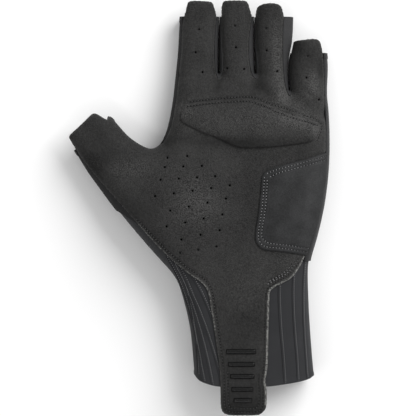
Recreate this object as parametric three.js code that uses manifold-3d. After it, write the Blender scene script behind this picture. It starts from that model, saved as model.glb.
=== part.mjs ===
// Left-hand fingerless cycling glove, filled as on a hand and lying palm up.
// Millimetres. +X goes towards the little finger, +Y to the fingertips, +Z up out of the palm.

import * as THREE from 'three';
import { mergeVertices } from 'three/addons/utils/BufferGeometryUtils.js';
import Module from 'manifold-3d';

const wasm = await Module();
wasm.setup();

// Fingers: outside width at the root, and length from the fork beside it to the side hem.
const indexWidth = 24.1;
const middleWidth = 20.2;
const ringWidth = 18.6;
const littleWidth = 20.9;
const indexLength = 34.5;
const middleLength = 34.1;
const ringLength = 34.1;
const littleLength = 23.6;
// How far the fork beside the little finger lies below the other two.
const littleDrop = 9.7;
const fingerDepth = 17.5;
// The leather front of each finger and of the thumb stands past the side hems.
const frontOverhang = 7.9;
// Open slit between two fingers.
const fingerSlit = 0.6;

// Palm: from the forks of the fingers to the wrist.
const palmLength = 106.8;
const palmDepth = 28;

// Thumb: from the end of its leather front to its fork with the index finger.
const thumbLength = 35.9;
const thumbWidth = 26.2;
const thumbDepth = 20;
const thumbAngle = 43.3;

// Cuff, and the pull tab that runs down over it.
const cuffLength = 64.3;
const cuffBreadth = 66;
const cuffDepth = 28;
const cuffLap = 8;
const tabWidth = 25;
const tabRootWidth = 32.6;
const tabOverhang = 16;

// Walls, seams and clearances.
const leatherWall = 1.2;
const clothWall = 1;
const knitWall = 1.5;
const seamGap = 0.3;
const cuffClearance = 0.6;
const seamInset = 1.7;
const outerStripWidth = 4;
const seamHeight = 11;

// Details.
const ribHeight = 0.5;
const ribWidth = 2.4;
const padThickness = 2.4;
const patchThickness = 1.8;
const cushionEdge = 1.6;
const perforationWidth = 1.1;
const perforationSides = 6;
const barThickness = 1;
const barWidth = 2.6;
// The outer step of a cushion, as a share of its thickness.
const cushionStep = 0.5;

// Every section is a soft box: its corners' softness, and the places of its widest line and of
// its underside below that, both as shares of its height. Its outline is about the given share
// of a box's.
const softness = 2.5;
const waistShare = 0.45;
const undersideShare = 0.53;
const outlineShare = 0.85;

// The side strips run past the hems to stripTop, as a share of the finger's length. The outer
// strip starts to widen at stripStart. The index strip ends at indexStripEnd, a share of
// palmLength, and leans from indexStripBend of that.
const stripTop = 1.4;
const stripStart = 0.2;
const indexStripEdge = -0.54;
const indexStripEnd = 0.22;
const indexStripBend = 0.7;

// The palm's leather between thumb and index finger, in shares of the palm, and how far in
// along the thumb its heel starts.
const webEdge = -0.726;
const webDrop = 0.36;
const thumbHeel = 1.65;
const thumbFar = 2.3;

// The seam of the leather and the cloth on the cuff, as a share of palmLength.
const wristShare = 0.946;

// Free end of a finger's leather front: places from hem and end as shares of frontOverhang,
// and how far in from its side in halves of seamInset.
const frontEnd = { hemRise: 0.2, shoulderDrop: 0.25, shoulderIn: 1.8, endIn: 3.5 };
// Free end of the thumb's leather front: along a share of the overhang, across of the width.
const thumbFront = [
  { along: 1, across: -0.43 },
  { along: 0.7, across: -0.4 },
  { along: 0, across: -0.373 },
  { along: 0, across: 0.373 },
  { along: 1, across: 0.5 },
  { along: 1, across: 1.2 },
];
// Corners of the tab's end: size as a share of tabWidth, and where they are cut.
const tabCorner = { size: 0.16, cut: 0.3, rightCut: 0.4, rightStart: 1.3 };
// The bottom of a fork is rounded to this share of its half breadth.
const forkBottom = 0.6;

// How far a cutting solid runs past what it cuts.
const past = 2;
// Seam cuts that graze a corner leave specks behind, which aren't part of a piece.
const speck = 0.5;

// Worked out from the sizes above.
const palmBreadth = indexWidth + middleWidth + ringWidth + littleWidth + 3 * fingerSlit;
const coverStep = leatherWall + cuffClearance + ribHeight;
const sectionSides = 28;
const fingerSides = 18;
const far = palmLength + cuffLength;
const radians = Math.PI / 180;
const wristSeam = -palmLength * wristShare;
const forkY = [0, 0, -littleDrop];
const forks = [0, 1, 2];
// The thumb's end, and its own axes in plan: towards the palm, and across to the index finger.
const thumbTip = [-1.108 * palmBreadth, -0.247 * palmLength];
const inward = [Math.sin(thumbAngle * radians), -Math.cos(thumbAngle * radians)];
const sideways = [Math.cos(thumbAngle * radians), Math.sin(thumbAngle * radians)];

// Palm sections from the forks (along 0) to the wrist (along 1, share of palmLength).
// left and right are shares of palmBreadth from its middle, top a share of palmDepth.
// drop follows the lower fork of the little finger, over is the leather's rise over the cuff
// and strip the outer side strip's width as a share of outerStripWidth.
const palmSections = [
  { along: -0.005, left: -0.498, right: 0.499, top: 0.76, drop: 1, over: 0, strip: 0.45 },
  { along: 0.09, left: -0.510, right: 0.497, top: 0.84, drop: 0.7, over: 0, strip: 0.47 },
  { along: 0.17, left: -0.527, right: 0.508, top: 0.88, drop: 0.35, over: 0, strip: 0.5 },
  { along: 0.27, left: -0.549, right: 0.513, top: 0.91, drop: 0, over: 0, strip: 0.53 },
  { along: 0.34, left: -0.589, right: 0.512, top: 0.92, drop: 0, over: 0, strip: 0.55 },
  { along: 0.37, left: -0.641, right: 0.512, top: 0.92, drop: 0, over: 0, strip: 0.55 },
  { along: 0.43, left: -0.66, right: 0.510, top: 0.93, drop: 0, over: 0, strip: 0.55 },
  { along: 0.51, left: -0.621, right: 0.506, top: 0.95, drop: 0, over: 0, strip: 0.55 },
  { along: 0.62, left: -0.608, right: 0.488, top: 0.97, drop: 0, over: 0, strip: 0.63 },
  { along: 0.70, left: -0.608, right: 0.473, top: 0.98, drop: 0, over: 0, strip: 0.77 },
  { along: 0.77, left: -0.615, right: 0.453, top: 0.99, drop: 0, over: 0, strip: 0.84 },
  { along: 0.83, left: -0.628, right: 0.433, top: 1, drop: 0, over: 0, strip: 0.91 },
  { along: 0.90, left: -0.637, right: 0.407, top: 1, drop: 0, over: 0, strip: 0.99 },
  { along: 0.948, left: -0.602, right: 0.385, top: 1, drop: 0, over: 0, strip: 1 },
  { along: 1, left: -0.530, right: 0.374, top: 1, drop: 0, over: 1, strip: 1 },
];

// Cuff sections from the wrist (along 0) to the hem (along 1, share of cuffLength).
// left and right are shares of cuffBreadth, top a share of cuffDepth.
const cuffSections = [
  { along: 0.14, left: -0.604, right: 0.482, top: 0.99 },
  { along: 0.32, left: -0.553, right: 0.487, top: 0.97 },
  { along: 0.56, left: -0.508, right: 0.501, top: 0.97 },
  { along: 0.84, left: -0.483, right: 0.522, top: 0.99 },
  { along: 1.02, left: -0.472, right: 0.532, top: 1.01 },
];

// The pull tab past the cuff's hem, sinking a little. beyond is a share of tabOverhang.
const overhangSections = [
  { beyond: 0.5, top: 0.98 },
  { beyond: 1.1, top: 0.93 },
];

// Every finger: along is a share of its length, wide of its width, deep of fingerDepth.
const fingerSections = [
  { along: -0.35, wide: 1.02, deep: 1.12 },
  { along: 0, wide: 1.01, deep: 1.1 },
  { along: 0.3, wide: 1, deep: 1.05 },
  { along: 0.65, wide: 1, deep: 1.02 },
  { along: 1, wide: 1, deep: 1 },
];

// The fingers from the thumb side. Towards the hem each one shifts sideways and
// grows or narrows, both as shares of its width. fork is its own drop below the others.
const fingers = [
  { name: 'index', width: indexWidth, length: indexLength, fork: 0, shift: 0.062, narrow: 0.874 },
  { name: 'middle', width: middleWidth, length: middleLength, fork: 0, shift: -0.028, narrow: 0.936 },
  { name: 'ring', width: ringWidth, length: ringLength, fork: 0, shift: 0.016, narrow: 1.16 },
  { name: 'little', width: littleWidth, length: littleLength, fork: 1, shift: 0.007, narrow: 0.918 },
];

// Thumb sections across its own axis, from the end of its front to deep in the palm.
// along is a share of thumbLength, left, right and seam of thumbWidth, top of thumbDepth.
// seam is how far the leather's edge lies inside the lower side.
const thumbSections = [
  { along: -0.08, left: -0.42, right: 0.53, top: 0.98, lift: 0.1, seam: 0.05 },
  { along: 0.2, left: -0.445, right: 0.56, top: 1, lift: 0.09, seam: 0.06 },
  { along: 0.34, left: -0.52, right: 0.58, top: 1.02, lift: 0.08, seam: 0.075 },
  { along: 0.61, left: -0.604, right: 0.56, top: 1.06, lift: 0.06, seam: 0.085 },
  { along: 0.83, left: -0.636, right: 0.64, top: 1.11, lift: 0.04, seam: 0.11 },
  { along: 1, left: -0.667, right: 0.731, top: 1.16, lift: 0.02, seam: 0.15 },
  { along: 1.27, left: -0.716, right: 0.953, top: 1.24, lift: 0, seam: 0.165 },
  { along: 1.65, left: -0.733, right: 1.165, top: 1.3, lift: 0, seam: 0.17 },
  { along: 2.01, left: -0.735, right: 1.271, top: 1.3, lift: 0, seam: 0.16 },
  { along: 2.3, left: -0.741, right: 1.2, top: 1.24, lift: 0, seam: 0.16 },
  { along: 2.45, left: -0.70, right: 0.95, top: 1, lift: 0, seam: 0.16 },
];

// Soft rises and hollows of the palm. x, y and the reaches are shares of palmBreadth and
// palmLength, rise a share of palmDepth.
const mounds = [
  { name: 'ball of the thumb', x: -0.37, y: 0.64, reachX: 0.24, reachY: 0.2, rise: 0.06 },
  { name: 'heel of the hand', x: 0.3, y: 0.66, reachX: 0.2, reachY: 0.26, rise: 0.07 },
  { name: 'hollow of the palm', x: -0.02, y: 0.72, reachX: 0.17, reachY: 0.26, rise: -0.12 },
  { name: 'fold over the thumb', x: -0.3, y: 0.35, reachX: 0.3, reachY: 0.06, rise: -0.05 },
  { name: 'finger root cushion', x: 0.2, y: 0.24, reachX: 0.35, reachY: 0.1, rise: 0.03 },
];

// Edge of the leather over the cuff, from the thumb side to the tab and on to the outer
// strip. x is a share of cuffBreadth, y a share of cuffLength below the wrist.
const heelEdgeLeft = [
  { x: -0.74, y: -0.156 },
  { x: -0.6, y: -0.03 },
  { x: -0.436, y: 0.089 },
  { x: -0.39, y: 0.125 },
];
const heelEdgeRight = [
  { x: 0.15, y: 0.177 },
  { x: 0.222, y: 0.128 },
  { x: 0.337, y: 0.066 },
  { x: 0.414, y: -0.04 },
  { x: 0.46, y: -0.095 },
];
const tabRootAlong = 0.2;
const tabMiddle = -0.072;
const tabRootMiddle = -0.1;

// The curved hem of the cuff: x a share of cuffBreadth, y a share of cuffLength.
const cuffHem = [
  { x: -0.6, y: 0.9 },
  { x: -0.478, y: 0.93 },
  { x: -0.436, y: 0.965 },
  { x: -0.326, y: 0.995 },
  { x: -0.1, y: 1 },
  { x: 0.15, y: 0.998 },
  { x: 0.4, y: 0.96 },
  { x: 0.52, y: 0.93 },
  { x: 0.65, y: 0.9 },
];

// Cushions on the palm: x a share of palmBreadth, y a share of palmLength.
const padOutline = [
  { x: -0.45, y: 0.17 },
  { x: -0.43, y: 0.148 },
  { x: -0.3, y: 0.132 },
  { x: -0.08, y: 0.12 },
  { x: 0.02, y: 0.117 },
  { x: 0.1, y: 0.142 },
  { x: 0.25, y: 0.198 },
  { x: 0.38, y: 0.229 },
  { x: 0.435, y: 0.25 },
  { x: 0.425, y: 0.29 },
  { x: 0.4, y: 0.325 },
  { x: 0.3, y: 0.342 },
  { x: 0.08, y: 0.361 },
  { x: -0.05, y: 0.363 },
  { x: -0.13, y: 0.345 },
  { x: -0.3, y: 0.288 },
  { x: -0.455, y: 0.236 },
  { x: -0.468, y: 0.215 },
];
const patchOutline = [
  { x: 0.07, y: 0.51 },
  { x: 0.09, y: 0.487 },
  { x: 0.16, y: 0.466 },
  { x: 0.36, y: 0.428 },
  { x: 0.56, y: 0.385 },
  { x: 0.56, y: 0.93 },
  { x: 0.31, y: 0.914 },
  { x: 0.11, y: 0.898 },
  { x: 0.059, y: 0.887 },
  { x: 0.034, y: 0.863 },
  { x: 0.024, y: 0.827 },
  { x: 0.046, y: 0.708 },
  { x: 0.059, y: 0.608 },
];

// Rows of holes over the ball of the thumb: shares of palmBreadth and palmLength.
const ventRows = [
  { fromX: -0.548, fromY: 0.416, toX: -0.418, toY: 0.407, holes: 2 },
  { fromX: -0.564, fromY: 0.465, toX: -0.323, toY: 0.458, holes: 3 },
  { fromX: -0.591, fromY: 0.531, toX: -0.235, toY: 0.507, holes: 4 },
  { fromX: -0.626, fromY: 0.616, toX: -0.145, toY: 0.557, holes: 5 },
  { fromX: -0.528, fromY: 0.692, toX: -0.165, toY: 0.63, holes: 4 },
  { fromX: -0.551, fromY: 0.773, toX: -0.188, toY: 0.711, holes: 4 },
  { fromX: -0.456, fromY: 0.841, toX: -0.206, toY: 0.793, holes: 3 },
  { fromX: -0.464, fromY: 0.911, toX: -0.228, toY: 0.878, holes: 3 },
];

// Holes on the finger fronts: across a share of the finger's width, along of its length.
const fingerVents = [
  { finger: 0, across: 0.02, along: 0.78 },
  { finger: 0, across: -0.05, along: 0.41 },
  { finger: 0, across: 0.14, along: 0.09 },
  { finger: 1, across: -0.03, along: 0.85 },
  { finger: 1, across: -0.01, along: 0.5 },
  { finger: 1, across: -0.25, along: 0.155 },
  { finger: 1, across: 0.21, along: 0.14 },
  { finger: 2, across: -0.18, along: 0.81 },
  { finger: 2, across: -0.18, along: 0.45 },
  { finger: 2, across: 0.13, along: 0.11 },
  { finger: 3, across: -0.05, along: 0.92 },
  { finger: 3, across: -0.08, along: 0.41 },
  { finger: 3, across: 0.2, along: -0.1 },
];

// Ribs of the cuff, as shares of the way round its section from the little-finger side
// over the palm side, at the wrist and at the hem.
const cuffRibs = [
  { wrist: 0.062, hem: 0.084 },
  { wrist: 0.116, hem: 0.132 },
  { wrist: 0.172, hem: 0.181 },
  { wrist: 0.4, hem: 0.28 },
  { wrist: 0.48, hem: 0.33 },
  { wrist: 0.535, hem: 0.37 },
  { wrist: 0.59, hem: 0.41 },
  { wrist: 0.645, hem: 0.48 },
  { wrist: 0.7, hem: 0.57 },
  { wrist: 0.755, hem: 0.66 },
  { wrist: 0.81, hem: 0.76 },
  { wrist: 0.87, hem: 0.86 },
  { wrist: 0.94, hem: 0.94 },
];

// Grip bars across the tab: along a share of cuffLength, long a share of tabWidth.
const gripBars = [
  { along: 0.7, long: 0.66 },
  { along: 0.808, long: 0.59 },
  { along: 0.911, long: 0.54 },
  { along: 1.022, long: 0.48 },
  { along: 1.118, long: 0.41 },
];

// A closed solid from a three.js geometry.
function solid(geometry) {
  geometry.deleteAttribute('normal');
  geometry.deleteAttribute('uv');
  const merged = mergeVertices(geometry, 1e-5);
  const vertProperties = new Float32Array(merged.attributes.position.array);
  const triVerts = new Uint32Array(merged.index.array);
  return new wasm.Manifold(new wasm.Mesh({ numProp: 3, vertProperties, triVerts }));
}

// A closed tube through rings that all have as many points. Each end is closed by strips
// across it, or by a fan where the two halves of a ring don't match.
function loft(rings, fan = false) {
  const count = rings[0].length;
  const points = rings.flat();
  const triangles = [];
  for (let k = 0; k + 1 < rings.length; k += 1) {
    for (let i = 0; i < count; i += 1) {
      const a = k * count + i;
      const b = k * count + (i + 1) % count;
      triangles.push(a, b, b + count, a, b + count, a + count);
    }
  }
  for (const [start, turned] of [[0, true], [(rings.length - 1) * count, false]]) {
    const flat = fan ? fanCap(points, start, count) : stripCap(start, count);
    if (turned) flat.reverse();
    triangles.push(...flat);
  }
  const volume = signedVolume(points, triangles);
  if (volume < 0) triangles.reverse();
  const geometry = new THREE.BufferGeometry().setFromPoints(points);
  geometry.setIndex(triangles);
  return solid(geometry);
}

function fanCap(points, start, count) {
  const middle = new THREE.Vector3();
  for (let i = 0; i < count; i += 1) middle.addScaledVector(points[start + i], 1 / count);
  points.push(middle);
  const flat = [];
  for (let i = 0; i < count; i += 1) flat.push(start + i, start + (i + 1) % count, points.length - 1);
  return flat;
}

function stripCap(start, count) {
  const flat = [];
  for (let i = 0; i < count / 2; i += 1) {
    const [a, b] = [start + i, start + i + 1];
    const [c, d] = [start + (count - i - 1) % count, start + (count - i) % count];
    if (b !== c) flat.push(a, b, c);
    if (a !== d) flat.push(a, c, d);
  }
  return flat;
}

function signedVolume(points, triangles) {
  let total = 0;
  const cross = new THREE.Vector3();
  for (let i = 0; i < triangles.length; i += 3) {
    const [a, b, c] = [triangles[i], triangles[i + 1], triangles[i + 2]].map((n) => points[n]);
    total += a.dot(cross.crossVectors(b, c)) / 6;
  }
  return total;
}

// An upright prism over a plan outline.
function prism(outline, low = -far, high = far) {
  const shape = new THREE.Shape(outline.map(([x, y]) => new THREE.Vector2(x, y)));
  const geometry = new THREE.ExtrudeGeometry(shape, { depth: high - low, bevelEnabled: false });
  return solid(geometry.translate(0, 0, low));
}

const joined = (solids) => solids.reduce((all, next) => all.add(next));
const smooth = (value) => THREE.MathUtils.smoothstep(value, 0, 1);

// Plan places. Palm shares count from the forks, cuff shares from the wrist.
const palmPoint = ({ x, y }) => [x * palmBreadth, -y * palmLength];
const cuffPoint = ({ x, y }) => [x * cuffBreadth, -palmLength - y * cuffLength];

// Soft relief of the palm side at a plan place, for a surface that faces up by a share.
function relief(x, y, facing) {
  let rise = 0;
  for (const mound of mounds) {
    const across = (x / palmBreadth - mound.x) / mound.reachX;
    const along = (-y / palmLength - mound.y) / mound.reachY;
    rise += mound.rise * palmDepth * Math.exp(-(across * across + along * along));
  }
  return rise * facing;
}

// One closed section between two side points: a soft box that is flattened underneath.
// grow moves the whole skin out or in, lift raises the underside, floor is where it rests.
// turns gives the places round the section, each with what it stands out by.
function section(left, right, top, lift, grow, floor, turns) {
  const middle = left.clone().add(right).multiplyScalar(0.5);
  const across = right.clone().sub(left).multiplyScalar(0.5);
  const half = across.length();
  across.normalize();
  const waist = lift + (top - lift) * waistShare;
  const below = (top - lift) * undersideShare;
  return turns.map(({ share, proud }) => {
    const c = Math.cos(share * 2 * Math.PI);
    const s = Math.sin(share * 2 * Math.PI);
    const out = grow + proud;
    const reach = Math.sign(c) * Math.abs(c) ** (2 / softness) * (half + out);
    const rise = Math.abs(s) ** (2 / softness);
    const x = middle.x + across.x * reach;
    const y = middle.y + across.y * reach;
    const up = waist + rise * (top - waist + out) + relief(x, y, rise ** 2);
    const down = waist - rise * (below + out);
    return new THREE.Vector3(x, y, Math.max(s >= 0 ? up : down, floor));
  });
}
function evenTurns(sides) {
  return Array.from({ length: sides }, (_, index) => ({ share: index / sides, proud: 0 }));
}
const bodyTurns = evenTurns(sectionSides);
const fingerTurns = evenTurns(fingerSides);

// The places round the cuff at a share of its length: a crest and both feet of each rib.
function ribbedTurns(along) {
  const foot = ribWidth / 2 / (2 * (cuffBreadth + cuffDepth) * outlineShare);
  const turns = [];
  for (const rib of cuffRibs) {
    const share = THREE.MathUtils.lerp(rib.wrist, rib.hem, along);
    turns.push({ share: share - foot, proud: 0 }, { share, proud: ribHeight });
    turns.push({ share: share + foot, proud: 0 });
  }
  const filled = [];
  turns.forEach((turn, index) => {
    filled.push(turn);
    if (index % 3 !== 2) return;
    const next = index + 1 < turns.length ? turns[index + 1].share : turns[0].share + 1;
    filled.push({ share: (turn.share + next) / 2, proud: 0 });
  });
  return filled;
}

// How far the line of the forks has dropped at a place across the palm.
function forkDrop(x) {
  const from = forkX(1);
  return littleDrop * smooth((x - from) / (forkX(2) - from));
}

// Places of the three forks across the palm, and of the finger roots between them.
function rootEdges(index) {
  let left = -palmBreadth / 2;
  for (let i = 0; i < index; i += 1) left += fingers[i].width + fingerSlit;
  return [left, left + fingers[index].width];
}
function forkX(index) {
  return rootEdges(index)[1] + fingerSlit / 2;
}

// Left and right edge of a finger at a share of its length, and the plan place of that share.
function fingerEdges(finger, along) {
  const [left, right] = rootEdges(fingers.indexOf(finger));
  const share = THREE.MathUtils.clamp(along, 0, 1.5);
  const middle = (left + right) / 2 + finger.shift * finger.width * share;
  const half = (finger.width / 2) * THREE.MathUtils.lerp(1, finger.narrow, share);
  return [middle - half, middle + half];
}
const fingerY = (finger, along) => along * finger.length - finger.fork * littleDrop;
const hemY = (finger) => fingerY(finger, 1);

// The body: palm, cuff and the stretch under the tab's free end, as one skin.
function bodyRings(grow) {
  const rings = [];
  const add = (left, right, y, top, drop, over) => {
    const raise = over * coverStep + grow;
    const ring = section(
      new THREE.Vector3(left, y, 0),
      new THREE.Vector3(right, y, 0),
      top, 0, raise, -raise, bodyTurns,
    );
    ring.forEach((point) => { point.y -= drop * forkDrop(point.x); });
    rings.push(ring);
  };
  for (const row of palmSections) {
    const end = row.along < 0 ? grow : 0;
    const y = -row.along * palmLength + end;
    const [left, right] = [row.left * palmBreadth, row.right * palmBreadth];
    add(left, right, y, row.top * palmDepth, row.drop, row.over);
  }
  for (const row of cuffSections) {
    const y = -palmLength - row.along * cuffLength;
    add(row.left * cuffBreadth, row.right * cuffBreadth, y, row.top * cuffDepth, 0, 1);
  }
  const last = cuffSections[cuffSections.length - 1];
  for (const row of overhangSections) {
    const y = -palmLength - cuffLength - row.beyond * tabOverhang;
    add(last.left * cuffBreadth, last.right * cuffBreadth, y, row.top * cuffDepth, 0, 1);
  }
  return rings;
}

function fingerRings(finger, grow, overrun) {
  const rings = fingerSections.map(({ along, wide, deep }) => {
    const [left, right] = fingerEdges(finger, along);
    const y = fingerY(finger, along);
    const extra = ((right - left) * (wide - 1)) / 2;
    return section(
      new THREE.Vector3(left - extra, y, 0),
      new THREE.Vector3(right + extra, y, 0),
      deep * fingerDepth, 0, grow, -grow, fingerTurns,
    );
  });
  const end = rings[rings.length - 1].map((point) => point.clone());
  end.forEach((point) => { point.y += frontOverhang + overrun; });
  return [...rings, end];
}

// A plan place on the thumb, by shares of its length and its width.
function thumbPoint(along, across) {
  return [
    thumbTip[0] + along * thumbLength * inward[0] + across * thumbWidth * sideways[0],
    thumbTip[1] + along * thumbLength * inward[1] + across * thumbWidth * sideways[1],
  ];
}

function thumbRings(grow, overrun) {
  return thumbSections.map(({ along, left, right, top, lift }, index) => {
    const end = index === 0 ? along - overrun / thumbLength : along;
    return section(
      new THREE.Vector3(...thumbPoint(end, left), 0),
      new THREE.Vector3(...thumbPoint(end, right), 0),
      top * thumbDepth, lift * thumbDepth, grow, -grow, fingerTurns,
    );
  });
}

// The slit between two fingers, which leans with the finger before it.
function slitX(index, y) {
  const finger = fingers[index];
  const along = (y + finger.fork * littleDrop) / finger.length;
  return fingerEdges(finger, along)[1] + fingerSlit / 2;
}
const tallest = Math.max(...fingers.map(hemY)) + 2 * frontOverhang;
function forkPrism(index, wider) {
  const half = fingerSlit / 2 + wider;
  const low = forkY[index] - wider;
  const round = low + half * forkBottom;
  return prism([
    [forkX(index) - half * forkBottom, low],
    [forkX(index) + half * forkBottom, low],
    [forkX(index) + half, round],
    [slitX(index, 0) + half, Math.max(0, round)],
    [slitX(index, tallest) + half, tallest],
    [slitX(index, tallest) - half, tallest],
    [slitX(index, 0) - half, Math.max(0, round)],
    [forkX(index) - half, round],
  ]);
}

// The filled form of the hand, grown or shrunk.
function hand(grow, overrun) {
  const parts = [loft(bodyRings(grow)), loft(thumbRings(grow, overrun))];
  for (const finger of fingers) parts.push(loft(fingerRings(finger, grow, overrun)));
  let whole = joined(parts);
  for (const index of forks) whole = whole.subtract(forkPrism(index, -grow));
  return whole;
}

const outerHand = hand(0, past);
const leatherShell = outerHand.subtract(hand(-leatherWall, 2 * past));
const clothShell = outerHand.subtract(hand(-clothWall, 2 * past));

// What lies past the side hem of each finger, between the slits beside it.
function beyondHem(finger) {
  const index = fingers.indexOf(finger);
  const low = hemY(finger);
  const left = (y) => (index === 0 ? -far : slitX(index - 1, y));
  const right = (y) => (index === forks.length ? far : slitX(index, y));
  return prism([[left(low), low], [right(low), low], [right(tallest), tallest], [left(tallest), tallest]]);
}
function beyondThumbHem() {
  const hem = frontOverhang / thumbLength;
  return prism([
    thumbPoint(hem, -past), thumbPoint(hem, past), thumbPoint(-past, past), thumbPoint(-past, -past),
  ]);
}
const beyondHems = joined([...fingers.map(beyondHem), beyondThumbHem()]);

const wristSide = prism([[-far, wristSeam], [far, wristSeam], [far, -2 * far], [-far, -2 * far]]);

// Side strips: everything outside a seam line that runs down the palm.
function outerStrip(wider) {
  const inner = palmSections.filter((row) => row.drop < 1).map((row) => [
    row.right * palmBreadth - row.strip * outerStripWidth - wider,
    -row.along * palmLength - (row.over === 1 ? palmLength : 0),
  ]);
  const little = fingers[fingers.length - 1];
  const [, tip] = fingerEdges(little, stripTop);
  const top = [tip - seamInset - wider, fingerY(little, stripTop)];
  const [, root] = fingerEdges(little, stripStart);
  const start = [root - seamInset - wider, fingerY(little, stripStart)];
  return prism([top, start, ...inner, [far, inner[inner.length - 1][1]], [far, top[1]]]);
}

function indexStrip(wider) {
  const [tip] = fingerEdges(fingers[0], stripTop);
  const [root] = fingerEdges(fingers[0], 0);
  const [edge] = palmPoint({ x: indexStripEdge, y: 0 });
  const tall = fingerY(fingers[0], stripTop);
  return prism([
    [tip + seamInset + wider, tall],
    [root + seamInset + wider, 0],
    [edge + seamInset + wider, -indexStripEnd * indexStripBend * palmLength],
    [edge + wider, -indexStripEnd * palmLength - wider],
    [edge - 2 * seamInset, -indexStripEnd * palmLength - wider],
    [edge - 2 * seamInset, tall],
  ]);
}

// Plan of the leather's front on one finger, with its rounded free end.
function frontPlan(finger, wider) {
  const index = fingers.indexOf(finger);
  const [leftRoot, rightRoot] = rootEdges(index);
  const [left, right] = fingerEdges(finger, 1);
  const side = seamInset - wider;
  const hem = hemY(finger);
  const end = hem + frontOverhang;
  const narrow = seamInset * 0.5;
  return prism([
    [leftRoot + side, -littleDrop - seamInset * 2],
    [rightRoot - side, -littleDrop - seamInset * 2],
    [rightRoot - side, fingerY(finger, 0)],
    [right - side, hem],
    [right - side - narrow, hem + frontEnd.hemRise * frontOverhang],
    [right - side - frontEnd.shoulderIn * narrow, end - frontEnd.shoulderDrop * frontOverhang],
    [right - side - frontEnd.endIn * narrow, end],
    [left + side + frontEnd.endIn * narrow, end],
    [left + side + frontEnd.shoulderIn * narrow, end - frontEnd.shoulderDrop * frontOverhang],
    [left + side + narrow, hem + frontEnd.hemRise * frontOverhang],
    [left + side, hem],
    [leftRoot + side, fingerY(finger, 0)],
  ]);
}

// Plan of the leather on the thumb: a seam on its lower side, free of it on the upper one.
function thumbPlan(wider) {
  const rows = thumbSections.filter((row) => row.along > 0.1);
  const hem = frontOverhang / thumbLength;
  const seams = rows.map((row) => {
    const across = row.left + row.seam - wider / thumbWidth;
    return thumbPoint(row.along, across);
  });
  return prism([
    ...seams.reverse(),
    ...thumbFront.map(({ along, across }) => thumbPoint(hem * along, across)),
    thumbPoint(1, thumbFront[thumbFront.length - 1].across),
    thumbPoint(thumbFar, thumbFront[thumbFront.length - 1].across),
  ]);
}

function tabPlan() {
  const rootY = -palmLength - tabRootAlong * cuffLength;
  const hem = -palmLength - cuffLength;
  const end = hem - tabOverhang;
  const root = tabRootMiddle * cuffBreadth;
  const middle = tabMiddle * cuffBreadth;
  const corner = tabWidth * tabCorner.size;
  return [
    [root - tabRootWidth / 2, rootY],
    [middle - tabWidth / 2, hem],
    [middle - tabWidth / 2, end + corner],
    [middle - tabWidth / 2 + corner * tabCorner.cut, end + corner * tabCorner.cut],
    [middle - tabWidth / 2 + corner, end],
    [middle + tabWidth / 2 - corner, end],
    [middle + tabWidth / 2 - corner * tabCorner.cut, end + corner * tabCorner.rightCut],
    [middle + tabWidth / 2, end + corner * tabCorner.rightStart],
    [middle + tabWidth / 2, hem],
    [root + tabRootWidth / 2, rootY],
  ];
}

function palmPlan(wider) {
  const [web] = palmPoint({ x: webEdge, y: 0 });
  const ringMiddle = (forkX(1) + forkX(2)) / 2;
  const flat = prism([
    [web, 0],
    [web, -webDrop * palmLength],
    thumbPoint(thumbHeel, 0),
    ...heelEdgeLeft.map(cuffPoint),
    ...tabPlan(),
    ...heelEdgeRight.map(cuffPoint),
    [far, wristSeam],
    [far, -littleDrop],
    [ringMiddle, -littleDrop],
    [ringMiddle, 0],
  ]);
  return joined([flat, thumbPlan(wider), ...fingers.map((finger) => frontPlan(finger, wider))]);
}

// The leather keeps to the upper half of the glove.
function leatherRegion(wider) {
  const upper = prism([[-far, far], [far, far], [far, -2 * far], [-far, -2 * far]], seamHeight - wider);
  return palmPlan(wider).intersect(upper);
}

const seamCuts = joined([
  ...forks.map((index) => forkPrism(index, seamInset + seamGap)),
  indexStrip(seamGap),
  outerStrip(seamGap),
]);

// A round hole straight down through the upper wall.
function hole(x, y) {
  const radius = perforationWidth / 2;
  const geometry = new THREE.CylinderGeometry(radius, radius, far, perforationSides);
  geometry.rotateX(Math.PI / 2);
  geometry.translate(x, y, far / 2 + seamHeight);
  return solid(geometry);
}
function holes() {
  const all = [];
  for (const row of ventRows) {
    for (let i = 0; i < row.holes; i += 1) {
      const share = i / (row.holes - 1);
      const x = THREE.MathUtils.lerp(row.fromX, row.toX, share);
      const y = THREE.MathUtils.lerp(row.fromY, row.toY, share);
      all.push(hole(...palmPoint({ x, y })));
    }
  }
  for (const vent of fingerVents) {
    const finger = fingers[vent.finger];
    const [left, right] = fingerEdges(finger, vent.along);
    const x = (left + right) / 2 + vent.across * (right - left);
    all.push(hole(x, fingerY(finger, vent.along)));
  }
  return joined(all);
}

// The ribbed tube of the cuff, with its upper end sewn inside the leather and the cloth.
function cuffSolid() {
  const lapRows = palmSections.slice(-4).map((row) => ({
    y: -row.along * palmLength,
    left: row.left * palmBreadth,
    right: row.right * palmBreadth,
    top: row.top * palmDepth,
    inset: (1 - row.over) * coverStep,
    along: 0,
  }));
  const rows = [...lapRows, ...cuffSections.map((row) => ({
    y: -palmLength - row.along * cuffLength,
    left: row.left * cuffBreadth,
    right: row.right * cuffBreadth,
    top: row.top * cuffDepth,
    inset: 0,
    along: row.along,
  }))];
  const tube = (wall, overrun) => loft(rows.map((row, index) => {
    const end = index === 0 ? overrun : index === rows.length - 1 ? -overrun : 0;
    const grow = -row.inset - wall;
    return section(
      new THREE.Vector3(row.left, row.y + end, 0),
      new THREE.Vector3(row.right, row.y + end, 0),
      row.top, 0, grow, -grow, ribbedTurns(row.along),
    );
  }), true);
  const top = wristSeam + cuffLap;
  const span = prism([[-far, top], ...cuffHem.map(cuffPoint), [far, top]]);
  return tube(0, 0).subtract(tube(knitWall, past)).intersect(span);
}

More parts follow.
